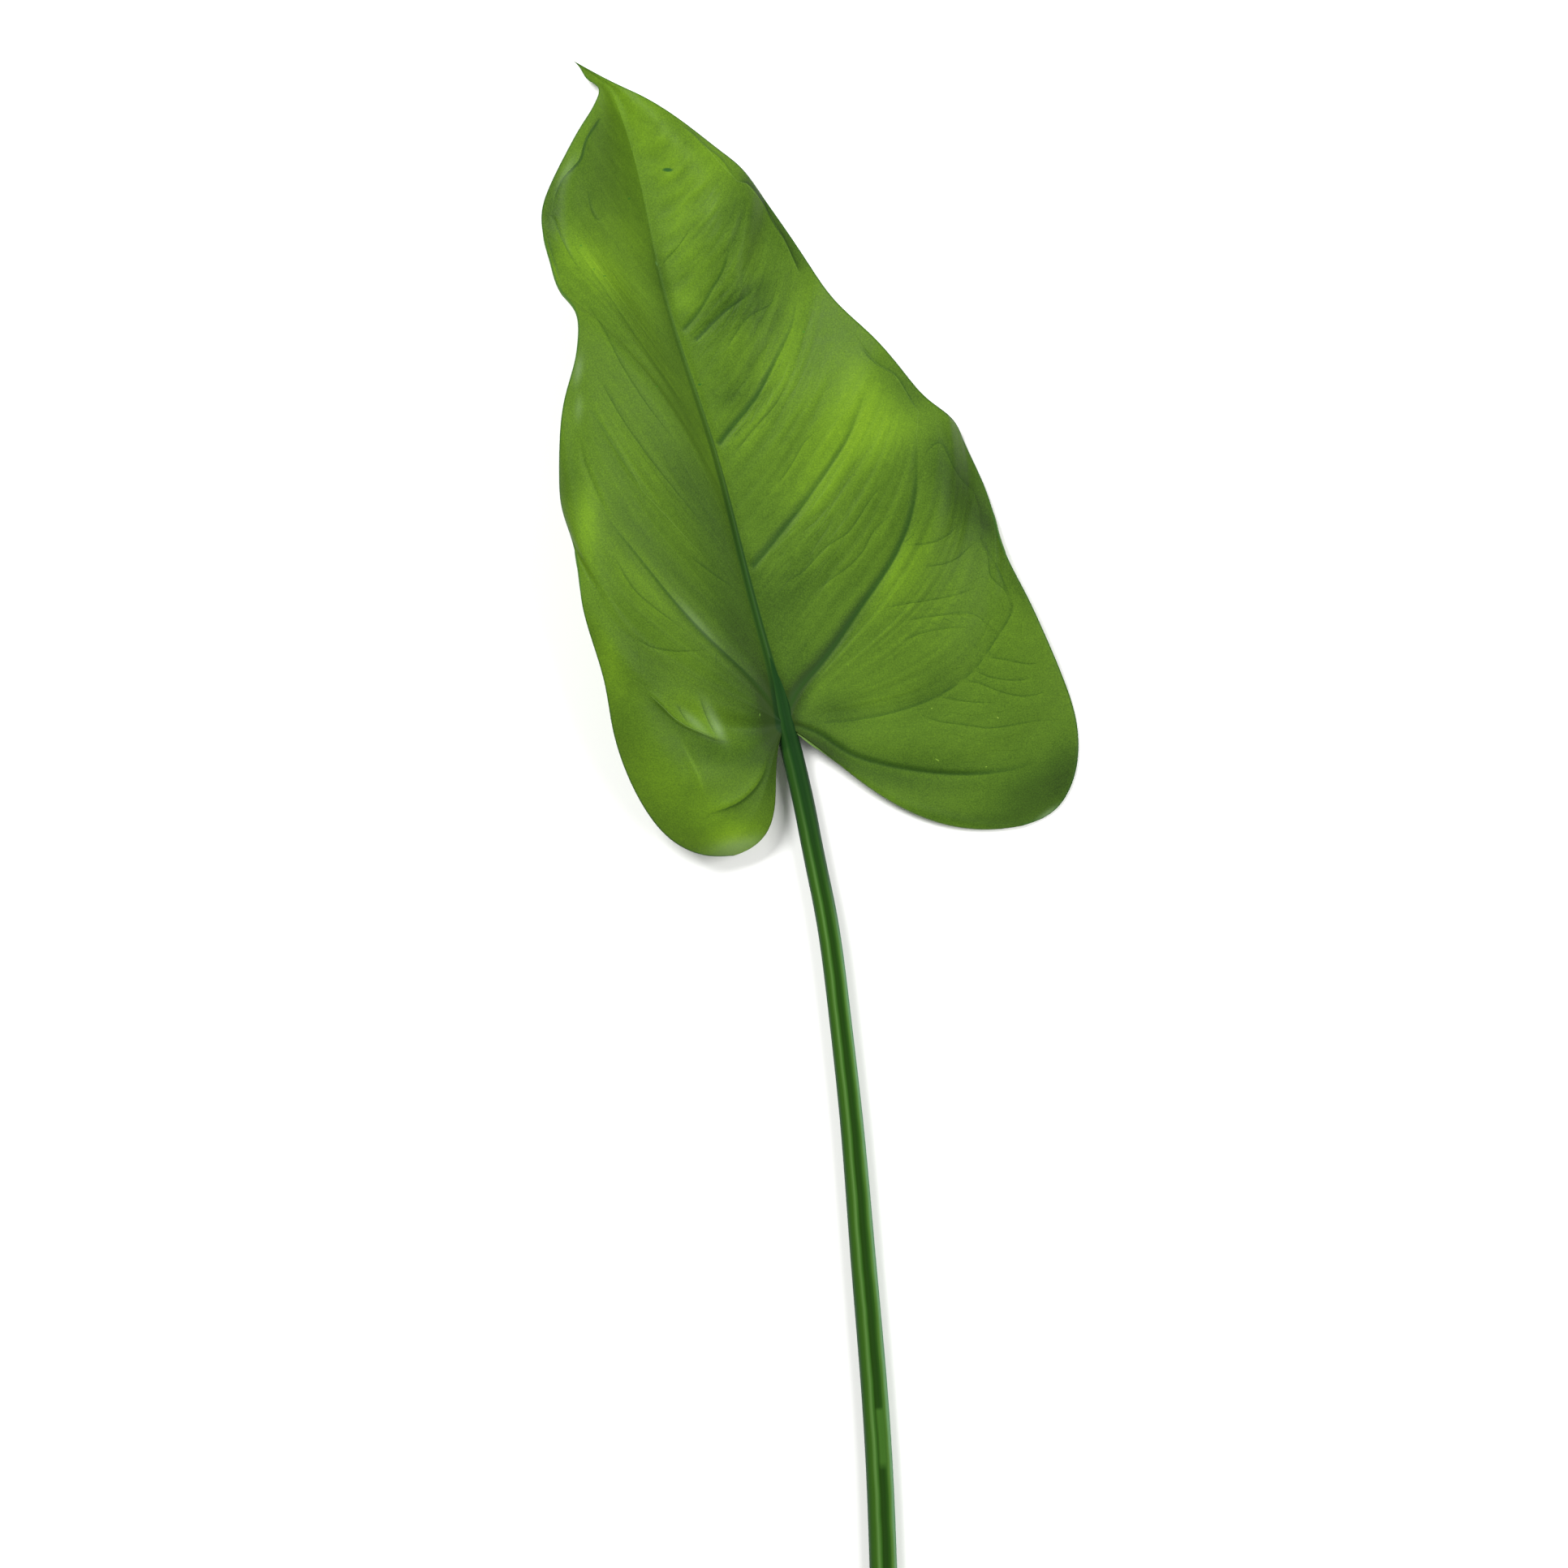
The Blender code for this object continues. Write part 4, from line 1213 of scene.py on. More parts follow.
def above_floor(add: Adder, geometry: Socket) -> Socket:
    """Lifts points that lie under the surface that the leaf rests on up to it.

    Args:
        add: adds a node to the tree.
        geometry: the mesh.

    Returns:
        The lifted mesh.
    """
    place = add("GeometryNodeInputPosition")[0]
    x, y, z = add("ShaderNodeSeparateXYZ", (place,))
    height = add("ShaderNodeMath", (z, 0.0), operation="MAXIMUM")[0]
    kept = add("ShaderNodeCombineXYZ", (x, y, height))[0]
    return add("GeometryNodeSetPosition", {"Geometry": geometry, "Position": kept})[0]


def dressed(add: Adder, geometry: Socket, skin: Socket, smooth: Socket | bool = True) -> Socket:
    """Finishes a mesh: smooth shading, real geometry and its material.

    Args:
        add: adds a node to the tree.
        geometry: the mesh.
        skin: its material.
        smooth: which faces are shaded smooth.

    Returns:
        The finished mesh.
    """
    shaded = add("GeometryNodeSetShadeSmooth", {"Geometry": geometry, "Shade Smooth": smooth})[0]
    real = add("GeometryNodeRealizeInstances", {"Geometry": shaded})[0]
    return add("GeometryNodeSetMaterial", {"Geometry": real, "Material": skin})[0]


class Half:
    """One half of the blade as a surface, asked for by where a line starts and how far out."""

    def __init__(self, edge: tuple, rows: tuple, veins: tuple, creases: tuple, side: Side) -> None:
        """Fits the half.

        Args:
            edge: points of the outer edge.
            rows: the table of lines across the half.
            veins: where the strong side veins start.
            creases: its strong veins, folds and rims.
            side: which half it is.
        """
        self.midrib = Path(MIDRIB)
        self.edge = Path(edge)
        self.veins = np.array(veins)
        self.creases = creases
        self.side = side
        table = np.array(rows)
        self.starts = table[:, 0]
        self.table = table[:, 1:]
        self.slopes = steady_slopes(self.starts, self.table)

    def plain(self, starts: Array, outs: Array, rim_start: float = 0.84) -> Array:
        """Gives a grid of points on the blade before grooves and swellings.

        Args:
            starts: where each line starts.
            outs: how far out each column stands.
            rim_start: where the rim begins to turn down.

        Returns:
            The points, by line and column.
        """
        base = self.midrib.at_share(np.minimum(starts, 1.0))
        row = follow(self.starts, self.table, self.slopes, starts)
        chord = (self.edge.at_point(row[:, 0]) - base[:, :2])[:, None, :]
        across = np.stack([chord[..., 1], -chord[..., 0]], axis=2) * self.side.value
        power = (row[:, 2] / (1.0 - row[:, 2]))[:, None]
        deepest = power / (1.0 + power)
        bend = outs**power * (1.0 - outs) / (deepest**power * (1.0 - deepest))
        bend = bend * row[:, 1][:, None]
        plan = base[:, None, :2] + chord * outs[:, None] + across * bend[..., None]
        quarters = np.linspace(0.0, 1.0, 5)
        heights = np.column_stack([base[:, 2], row[:, 4:]]).T
        height = follow(quarters, heights, flowing_slopes(quarters, heights), outs).T
        height -= row[:, 3][:, None] * np.clip((outs - rim_start) / (1.0 - rim_start), 0.0, 1.0) ** 2
        return np.concatenate([plan, height[..., None]], axis=2)

    def between_veins(self, starts: Array) -> Array:
        """Gives one midway between two strong side veins and nothing on them."""
        numbers = np.interp(starts, self.veins, np.arange(len(self.veins)))
        return np.sin(np.pi * numbers) ** 2


def both_halves() -> tuple[Half, Half]:
    """Fits the blade's right and left halves."""
    right = Half(RIGHT_EDGE, RIGHT_ROWS, RIGHT_VEINS, RIGHT_CREASES + RIGHT_RIM, Side.RIGHT)
    return right, Half(LEFT_EDGE, LEFT_ROWS, LEFT_VEINS, LEFT_CREASES + LEFT_RIM, Side.LEFT)


@dataclass
class Blade:
    """The blade: two halves grown from one midrib, with folds, furrows and a curled rim.

    Places on the midrib run from 0 at the tip to 1 at the junction, and in the fan on to 2.

    Attributes:
        rows_on_midrib: lines that start on the midrib.
        rows_in_fan: lines that fan out round the junction.
        columns: points along each line.
        thickness: thickness beside the midrib, across the blade and at its edge.
        thick_places: how far out these thicknesses stand, of which the second stands twice.
        thick_start: where on the midrib the blade is as thick as that, thinner towards the tip.
        relief_start: where on the midrib the relief is full, flatter towards the tip.
        groove_depth: depth of the groove over the midrib.
        groove_half_width: half its width.
        groove_start: where on the midrib it begins.
        groove_run: over how much of the midrib it deepens.
        groove_end: how far past the junction it ends.
        swelling: height of the soft swelling between strong veins.
        midrib_length: length of the midrib, rounded.
        ripple_spacing: spacing of the finer side veins along the midrib.
        ripple_height: how far the skin swells between them.
        ripple_reach: how long a ripple is, as turns on the way out.
        ripple_left: how strong the ripples are on the left half.
        clear_radius: how far from the junction the fine relief begins, and is full.
        smooth_skin: how wrinkled the skin is outside the patches.
        seed: seed of everything uneven.
        halves: the right and the left half.
    """

    rows_on_midrib: int = 224
    rows_in_fan: int = 120
    columns: int = 70
    thickness: tuple = (1.3, 0.85, 0.65)
    thick_places: tuple = (0.0, 0.18, 0.85, 1.0)
    thick_start: float = 0.2
    relief_start: float = 0.15
    groove_depth: float = 0.7
    groove_half_width: float = 1.8
    groove_start: float = 0.12
    groove_run: float = 0.4
    groove_end: float = 0.1
    swelling: float = 0.7
    midrib_length: float = 223.0
    ripple_spacing: float = 3.6
    ripple_height: float = 0.26
    ripple_reach: float = 2.2
    ripple_left: float = 0.45
    clear_radius: tuple = (4.0, 28.0)
    smooth_skin: float = 0.10
    seed: int = 7
    halves: tuple = field(default_factory=both_halves)

    def starts(self) -> Array:
        """Spaces the lines.

        Returns:
            Where the lines start, from the tip to the end of the fan.
        """
        on_midrib = np.linspace(0.0, 1.0, self.rows_on_midrib)
        in_fan = np.linspace(1.0, 2.0, self.rows_in_fan + 1)[1:]
        return np.concatenate([on_midrib, in_fan])

    def outs(self) -> Array:
        """Says how far out the columns stand, closer together at the midrib and at the edge."""
        even = np.linspace(0.0, 1.0, self.columns)
        return even - 0.05 * np.sin(2.0 * np.pi * even)

    def numbers(self, place: int) -> Array:
        """Numbers the points of one half's grid.

        Args:
            place: 0 for the right half and 1 for the left.

        Returns:
            A point number for each line and column. The midrib is shared, and each end of it is
            one point.
        """
        rows = self.rows_on_midrib + self.rows_in_fan
        inner = (rows - 1) * (self.columns - 1)
        numbers = np.zeros((rows, self.columns), int)
        numbers[:, 0] = np.minimum(np.arange(rows), self.rows_on_midrib - 1)
        first = self.rows_on_midrib + place * inner
        numbers[1:, 1:] = first + np.arange(inner).reshape(rows - 1, self.columns - 1)
        return numbers

    def faces(self, numbers: Array, side: Side) -> list:
        """Lists the faces of one half's upper side, facing up.

        Args:
            numbers: the half's point numbers.
            side: which half it is.

        Returns:
            Point numbers round each face, four or three.
        """
        corners = (numbers[:-1, :-1], numbers[1:, :-1], numbers[1:, 1:], numbers[:-1, 1:])
        quads = np.stack(corners, axis=2).reshape(-1, 4)
        if side is Side.LEFT:
            quads = quads[:, ::-1]
        faces = [[n for i, n in enumerate(quad) if n != quad[i - 1]] for quad in quads.tolist()]
        return [face for face in faces if len(face) > 2]

    def relief(self, half: Half, starts: Array, outs: Array, aside: Array) -> Array:
        """Works out the broad relief: the groove over the midrib and the swelling between veins.

        Args:
            half: the half.
            starts: where its lines start.
            outs: how far out its columns stand.
            aside: each point's distance from the midrib.

        Returns:
            The height to add to each point.
        """
        deepening = ease((starts - self.groove_start) / self.groove_run)
        ending = np.clip((1.0 + self.groove_end - starts) / self.groove_end, 0.0, 1.0)
        groove = np.exp(-((aside / self.groove_half_width) ** 2)) * (deepening * ending)[:, None]
        swell = half.between_veins(starts)[:, None] * np.sin(np.pi * outs) ** 2
        return self.swelling * swell - self.groove_depth * groove

    def rippling(self, side: Side, starts: Array, outs: Array) -> Array:
        """Says how strongly the fine side veins ripple the skin.

        Args:
            side: which half it is.
            starts: where its lines start.
            outs: how far out its columns stand.

        Returns:
            The strength at each point, from nothing to one.
        """
        begun = np.clip(starts / self.relief_start, 0.0, 1.0)[:, None]
        # The ripples end nine tenths of the way out, and fade in the fan between 1.1 and 1.6.
        inside = np.sin(np.pi * np.clip(outs * 1.1, 0.0, 1.0)) ** 0.7
        in_fan = np.clip((1.6 - starts) / 0.5, 0.0, 1.0)[:, None]
        return inside * begun * (1.0 if side is Side.RIGHT else self.ripple_left) * in_fan

    def upper(self, half: Half) -> dict[str, Array]:
        """Works out the upper face of one half and what its points carry.

        Args:
            half: the half.

        Returns:
            Grids by name: points, thickness and each attribute of the material.
        """
        starts, outs = self.starts(), self.outs()
        points = half.plain(starts, outs)
        points[:, 1:, 2] = self.evened(points)[:, 1:]
        shape = points.shape[:2]
        plan = points[..., :2].reshape(-1, 2)
        # Stretches of 1 to 2 mm stand for the midrib and the edge here, which is fine enough.
        aside, share = (values.reshape(shape) for values in half.midrib.nearest(plan, 120))
        edge, _ = half.edge.nearest(plan, 240)
        height, tone, lines = self.creased(half.creases + ribs(FINE_LINES[Weight.VEIN]), plan)
        begun = np.clip(starts / self.relief_start, 0.0, 1.0)[:, None]
        points[..., 2] += begun * (self.relief(half, starts, outs, aside) + height.reshape(shape))
        near, far = self.clear_radius
        clear = ease((np.linalg.norm(points[..., :2], axis=2) - near) / (far - near))
        at_midrib, across, at_edge = self.thickness
        body = np.interp(outs, self.thick_places, (at_midrib, across, across, at_edge))
        thickened = np.clip(starts / self.thick_start, 0.0, 1.0)[:, None]
        wrinkled = self.smooth_skin + self.painted(WRINKLED, half.side, plan)
        # Wrinkles are full from an eighth of the way out.
        off_midrib = np.clip(outs * 8.0, 0.0, 1.0)
        # The band widens towards the junction, most of all in its last eighth.
        width = 0.28 + 1.05 * share**1.2 + 0.9 * np.clip((share - 0.88) / 0.12, 0.0, 1.0) ** 2
        return {
            "points": points,
            # The tone carries painted light and shade from the creases and the patches; the sheen is
            # painted highlight.
            "tone": (tone + self.painted(PAINTED_LIGHT_AND_SHADE, half.side, plan)).reshape(shape),
            "sheen": self.painted(PAINTED_SHEEN, half.side, plan).reshape(shape),
            "wrinkled": np.clip(wrinkled, 0.0, 1.0).reshape(shape) * begun * off_midrib * clear,
            **{name: values.reshape(shape) for name, values in lines.items()},
            "thick": at_edge + (body - at_edge) * thickened,
            "from_midrib": np.abs(aside) * half.side.value,
            "midrib_width": width,
            "from_edge": np.abs(edge).reshape(shape),
            "along": np.broadcast_to((starts * self.midrib_length)[:, None], shape),
            "out": np.broadcast_to(outs, shape),
            "ripple": self.rippling(half.side, starts, outs) * clear,
        }

    @staticmethod
    def evened(points: Array, rows: float = 18.0, reach: float = 13.0) -> Array:
        """Evens out the heights of neighbouring lines where they come together at the junction.

        Args:
            points: the grid of points of one half.
            rows: over how many lines the heights are evened.
            reach: how far from the junction.

        Returns:
            The height of each point.
        """
        apart = np.subtract.outer(np.arange(len(points)), np.arange(len(points))) / rows
        weights = np.exp(-apart * apart)
        even = weights @ points[..., 2] / weights.sum(axis=1)[:, None]
        near = np.exp(-((np.linalg.norm(points[..., :2], axis=2) / reach) ** 2))
        return points[..., 2] + near * (even - points[..., 2])

    @staticmethod
    def creased(creases: tuple, plan: Array) -> tuple[Array, Array, dict[str, Array]]:
        """Presses creases into points of one half.

        Near its line a crease is left to the material, which draws it sharper than the points stand.
        Elsewhere its dark line and the painted light and shade beside it go into the blade's tone.

        Args:
            creases: the creases.
            plan: points of the plan, one a row.

        Returns:
            The change in height, the change in tone, which is painted light and shade with the dark
            line, and what the material draws the nearest line from.
        """
        marks = [crease.press(plan) for crease in creases]
        gaps = np.array([mark.gap for mark in marks])
        nearest = np.argmin(gaps, axis=0)
        closest, second = np.sort(gaps, axis=0)[:2]
        # The material draws a line 3 to 4.5 mm out, and only where no other is as near.
        sharp = ease((4.5 - closest) / 1.5) * ease((second - closest) / 1.5)
        height, tone = np.zeros(len(plan)), np.zeros(len(plan))
        lines = {name: np.zeros(len(plan)) for name in LINE_FIELDS}
        for number, mark in enumerate(marks):
            mine = nearest == number
            drawn = np.where(mine, sharp, 0.0)
            beside = np.where(mark.aside > 0.0, mark.left, mark.right)
            dark = ease((mark.aside - CORE_RISE[0]) / (CORE_RISE[1] - CORE_RISE[0]))
            dark *= 1.0 - ease((mark.aside - CORE_FALL[0]) / (CORE_FALL[1] - CORE_FALL[0]))
            height += mark.height
            tone += (1.0 - drawn) * (beside - mark.core * dark)
            lines["line_aside"][mine] = np.clip(mark.aside[mine], -LINE_REACH, LINE_REACH)
            lines["line_core"] += drawn * mark.core
            lines["line_left"] += drawn * mark.left
            lines["line_right"] += drawn * mark.right
        return height, tone, lines

    @staticmethod
    def painted(patches: tuple, side: Side, plan: Array) -> Array:
        """Adds up patches over points of one half."""
        return sum(patch.strength(plan) for patch in patches if patch.side in (None, side))

    def sheet(self) -> Object:
        """Builds the upper face as an open sheet with everything that the tree needs.

        Returns:
            The sheet object.
        """
        parts = [self.upper(half) for half in self.halves]
        rows = self.rows_on_midrib + self.rows_in_fan
        total = self.rows_on_midrib + 2 * (rows - 1) * (self.columns - 1)
        fields = {name: np.zeros((total, *values.shape[2:])) for name, values in parts[0].items()}
        faces = []
        for place, (half, part) in enumerate(zip(self.halves, parts)):
            numbers = self.numbers(place)
            for name, values in part.items():
                fields[name][numbers] = values
            faces += self.faces(numbers, half.side)
        points = fields.pop("points")
        through = self.through(points, faces) * fields.pop("thick")[:, None]
        lift = self.pressed(points[:, 2] + through[:, 2])
        points[:, 2] += lift
        obj = link_mesh("blade_sheet", points, [], faces)
        store(obj, "through", through * METRES)
        for name, values in fields.items():
            store(obj, name, values)
        layer = obj.data.uv_layers.new(name="UVMap")
        corners = np.zeros(len(obj.data.loops), int)
        obj.data.loops.foreach_get("vertex_index", corners)
        uv = np.column_stack([fields["along"], 100.0 * fields["out"]])[corners] * 0.01
        layer.data.foreach_set("uv", uv.astype(np.float32).ravel())
        return obj

    def through(
        self, points: Array, faces: list, junction_reach: float = 22.0, tip_reach: float = 12.0
    ) -> Array:
        """Finds the direction from the upper face to the lower, evened out at junction and tip.

        Args:
            points: points of the upper face.
            faces: its faces.
            junction_reach: how far from the junction the direction is evened out.
            tip_reach: how far from the tip it is straight down, and fades over as much again.

        Returns:
            A direction for each point.
        """
        corners = np.array([face if len(face) == 4 else [*face, face[0]] for face in faces])
        first = points[corners[:, 2]] - points[corners[:, 0]]
        second = points[corners[:, 3]] - points[corners[:, 1]]
        across = np.cross(first, second)
        normals = np.zeros(points.shape)
        for i in range(4):
            np.add.at(normals, corners[:, i], across)
        normals /= np.linalg.norm(normals, axis=1, keepdims=True)
        junction = self.rows_on_midrib - 1
        gap = np.linalg.norm(points - points[junction], axis=1)[:, None]
        normals += (normals[junction] - normals) * np.clip(1.0 - gap / junction_reach, 0.0, 1.0)
        gap = np.linalg.norm(points - points[0], axis=1)[:, None]
        normals += (np.array([0.0, 0.0, 1.0]) - normals) * np.clip(2.0 - gap / tip_reach, 0.0, 1.0)
        return -normals / np.linalg.norm(normals, axis=1, keepdims=True)

    @staticmethod
    def pressed(height: Array, soft: float = 0.8) -> Array:
        """Gives how far the surface pushes points of the underside up."""
        rest = np.where(height > soft, height, (height + soft) ** 2 / (4.0 * soft))
        return np.where(height < -soft, 0.0, rest) - height

    def tree(self, values: dict) -> Tree:
        """Builds the tree that ripples the sheet and gives it its thickness.

        Args:
            values: the value of each named input.

        Returns:
            The Geometry Nodes tree.
        """
        tree, add, given = new_group("Leaf blade", values)
        named = {
            name: add("GeometryNodeInputNamedAttribute", {"Name": name}, data_type=kind)[0]
            for name, kind in (
                ("along", "FLOAT"), ("out", "FLOAT"), ("ripple", "FLOAT"), ("through", "FLOAT_VECTOR"),
            )
        }
        turns = add("ShaderNodeMath", (named["along"], given["Ripple Spacing"]), operation="DIVIDE")
        reach = add("ShaderNodeMath", (named["out"], given["Ripple Reach"]), operation="MULTIPLY")
        lie = add("ShaderNodeCombineXYZ", (turns[0], reach[0]))[0]
        noise = add("ShaderNodeTexNoise", {
            "Vector": lie, "W": given["Seed"], "Scale": 1.0, "Detail": 1.5, "Roughness": 0.5,
        }, noise_dimensions="4D")[0]
        even = add("ShaderNodeMapRange", (noise, 0.25, 0.75, -1.0, 1.0))[0]
        wave = add("ShaderNodeMath", (even, named["ripple"]), operation="MULTIPLY")[0]
        height = add("ShaderNodeMath", (wave, given["Ripple Height"]), operation="MULTIPLY")[0]
        up = add("ShaderNodeCombineXYZ", {2: height})[0]
        moved = add("GeometryNodeSetPosition", {"Geometry": given["Geometry"], "Offset": up})[0]
        rippled = add("GeometryNodeStoreNamedAttribute", {
            "Geometry": moved, "Name": "wave", "Value": wave,
        })[0]
        # The sheet is doubled, and the copy's faces go down through the blade.
        grown_down = add("GeometryNodeExtrudeMesh", {
            "Mesh": rippled, "Offset Scale": 0.0, "Individual": False,
        }, mode="FACES")
        lowered = add("GeometryNodeSetPosition", {
            "Geometry": grown_down["Mesh"], "Selection": grown_down["Top"], "Offset": named["through"],
        })[0]
        marked = add("GeometryNodeStoreNamedAttribute", {
            "Geometry": lowered, "Name": "under", "Value": grown_down["Top"],
        })[0]
        turned = add("GeometryNodeFlipFaces", {"Mesh": marked})[0]
        both = add("GeometryNodeJoinGeometry", {"Geometry": [turned, rippled]})[0]
        closed = add("GeometryNodeMergeByDistance", {"Geometry": both, "Distance": 1.0e-7})[0]
        rested = above_floor(add, closed)
        add("NodeGroupOutput", {"Geometry": dressed(add, rested, given["Skin"])})
        return tree

    def build(self, skin: Material) -> Object:
        """Builds the finished blade.

        Args:
            skin: the blade's material.

        Returns:
            The blade's piece.
        """
        values = {
            "Ripple Spacing": self.ripple_spacing, "Ripple Height": self.ripple_height * METRES,
            "Ripple Reach": self.ripple_reach, "Seed": float(self.seed), "Skin": skin,
        }
        return grown(self.sheet(), self.tree(values), values, "leaf_blade")


@dataclass
class Stalk:
    """The round stalk and the ridge that it runs on into under the blade.

    Attributes:
        rings: rings of points along it.
        sides: points round it.
        stalk_points: points along the stalk, from which the rings are spaced evenly.
        ridge_points: the same along the ridge.
        ridge_end: how near the tip the ridge ends, as a share of the midrib.
        ridge_radius: radius of the ridge at the junction and at its end.
        ridge_taper: how fast the ridge thins, where 1 would be evenly.
        flute: depth of the soft lengthwise flutes.
        flutes: how many flutes there are round it.
        bury: how far the ridge's top lies under the blade's face.
        knot_bury: how far it lies under it at the junction, where it stands out if negative.
        knot_start: where on the midrib it starts to rise to that.
    """

    rings: int = 260
    sides: int = 48
    stalk_points: int = 30
    ridge_points: int = 24
    ridge_end: float = 0.12
    ridge_radius: tuple = (3.1, 0.6)
    ridge_taper: float = 2.2
    flute: float = 0.10
    flutes: int = 7
    bury: float = 1.25
    knot_bury: float = -0.90
    knot_start: float = 0.86

    def axis(self) -> Array:
        """Works out the line that the bar follows.

        Returns:
            Points and radii from the cut end to the thin end of the ridge.
        """
        shares = np.linspace(1.0, self.ridge_end, self.ridge_points)
        midrib = Path(MIDRIB).at_share(shares)
        grown_share = (shares - self.ridge_end) / (1.0 - self.ridge_end)
        wide, thin = self.ridge_radius
        radius = thin + (wide - thin) * grown_share**self.ridge_taper
        rise = ease((shares - self.knot_start) / (1.0 - self.knot_start))
        midrib[:, 2] -= self.bury + (self.knot_bury - self.bury) * rise + radius
        stalk = Path(STALK).at_share(np.linspace(0.0, 1.0, self.stalk_points))
        rough = np.concatenate([stalk, np.column_stack([midrib, radius])])
        lengths = np.linalg.norm(np.diff(rough[:, :3], axis=0), axis=1)
        knots = np.concatenate([[0.0], np.cumsum(lengths)])
        places = np.linspace(0.0, knots[-1], self.rings)
        return follow(knots, rough, steady_slopes(knots, rough), places)

    def tree(self, values: dict) -> Tree:
        """Builds the tree that turns the axis into the fluted bar.

        Args:
            values: the value of each named input.

        Returns:
            The Geometry Nodes tree.
        """
        tree, add, given = new_group("Leaf stalk", values)
        curve = add("GeometryNodeMeshToCurve", {"Mesh": given["Geometry"]})[0]
        level = add("GeometryNodeSetCurveNormal", {"Curve": curve}, mode="Z_UP")[0]
        size = add("GeometryNodeInputNamedAttribute", {"Name": "size"})[0]
        ring = add("GeometryNodeCurvePrimitiveCircle", {"Resolution": given["Sides"], "Radius": 1.0})[0]
        stored = add("GeometryNodeStoreNamedAttribute", {
            "Geometry": ring, "Name": "round", "Value": add("GeometryNodeInputPosition")[0],
        }, data_type="FLOAT_VECTOR")[0]
        bar = add("GeometryNodeCurveToMesh", {
            "Curve": level, "Profile Curve": stored, "Scale": size, "Fill Caps": True,
        })[0]
        around = add("GeometryNodeInputNamedAttribute", {"Name": "round"}, data_type="FLOAT_VECTOR")
        x, y, _ = add("ShaderNodeSeparateXYZ", (around[0],))
        turn = add("ShaderNodeMath", (y, x), operation="ARCTAN2")[0]
        many = add("ShaderNodeMath", (turn, given["Flutes"]), operation="MULTIPLY")[0]
        wave = add("ShaderNodeMath", (many,), operation="SINE")[0]
        deep = add("ShaderNodeMath", (wave, given["Flute Depth"]), operation="MULTIPLY")[0]
        normal = add("GeometryNodeInputNormal")[0]
        out = add("ShaderNodeVectorMath", {0: normal, "Scale": deep}, operation="SCALE")[0]
        fluted = add("GeometryNodeSetPosition", {"Geometry": bar, "Offset": out})[0]
        # The material reads how far to the right of the axis a point is, in radii.
        marked = add("GeometryNodeStoreNamedAttribute", {
            "Geometry": fluted, "Name": "across", "Value": x,
        })[0]
        rested = above_floor(add, marked)
        # The cut end is the flat face that looks back along the stalk.
        back = add("ShaderNodeVectorMath", (normal, (0.0, -1.0, 0.0)), operation="DOT_PRODUCT")
        end = add("FunctionNodeCompare", {
            0: back["Value"], 1: 0.95,
        }, data_type="FLOAT", operation="GREATER_THAN")[0]
        side = add("FunctionNodeBooleanMath", (end,), operation="NOT")[0]
        skinned = dressed(add, rested, given["Skin"], side)
        capped = add("GeometryNodeSetMaterial", {
            "Geometry": skinned, "Selection": end, "Material": given["Cut"],
        })[0]
        add("NodeGroupOutput", {"Geometry": capped})
        return tree

    def build(self, skin: Material, cut: Material) -> Object:
        """Builds the finished stalk.

        Args:
            skin: the stalk's material.
            cut: the material of its cut end.

        Returns:
            The stalk's piece.
        """
        axis = self.axis()
        edges = [(i, i + 1) for i in range(len(axis) - 1)]
        line = link_mesh("stalk_axis", axis[:, :3], edges, [])
        store(line, "size", axis[:, 3] * METRES)
        store(line, "along", axis[:, 1])
        values = {
            "Sides": self.sides, "Flute Depth": self.flute * METRES, "Flutes": self.flutes,
            "Skin": skin, "Cut": cut,
        }
        return grown(line, self.tree(values), values, "leaf_stalk")


class Weight(Enum):
    """How a fine line of the skin is drawn: its radius, its own tone and its shine. Crests and the
    pleat's edge are drawn lighter with painted sheen: painted highlight.
    """

    HAIR = (0.10, -0.10, 0.0)
    VEIN = (0.13, -0.06, 0.0)
    CREST = (0.16, 0.20, 0.05)
    EDGE = (0.20, 0.15, 0.12)


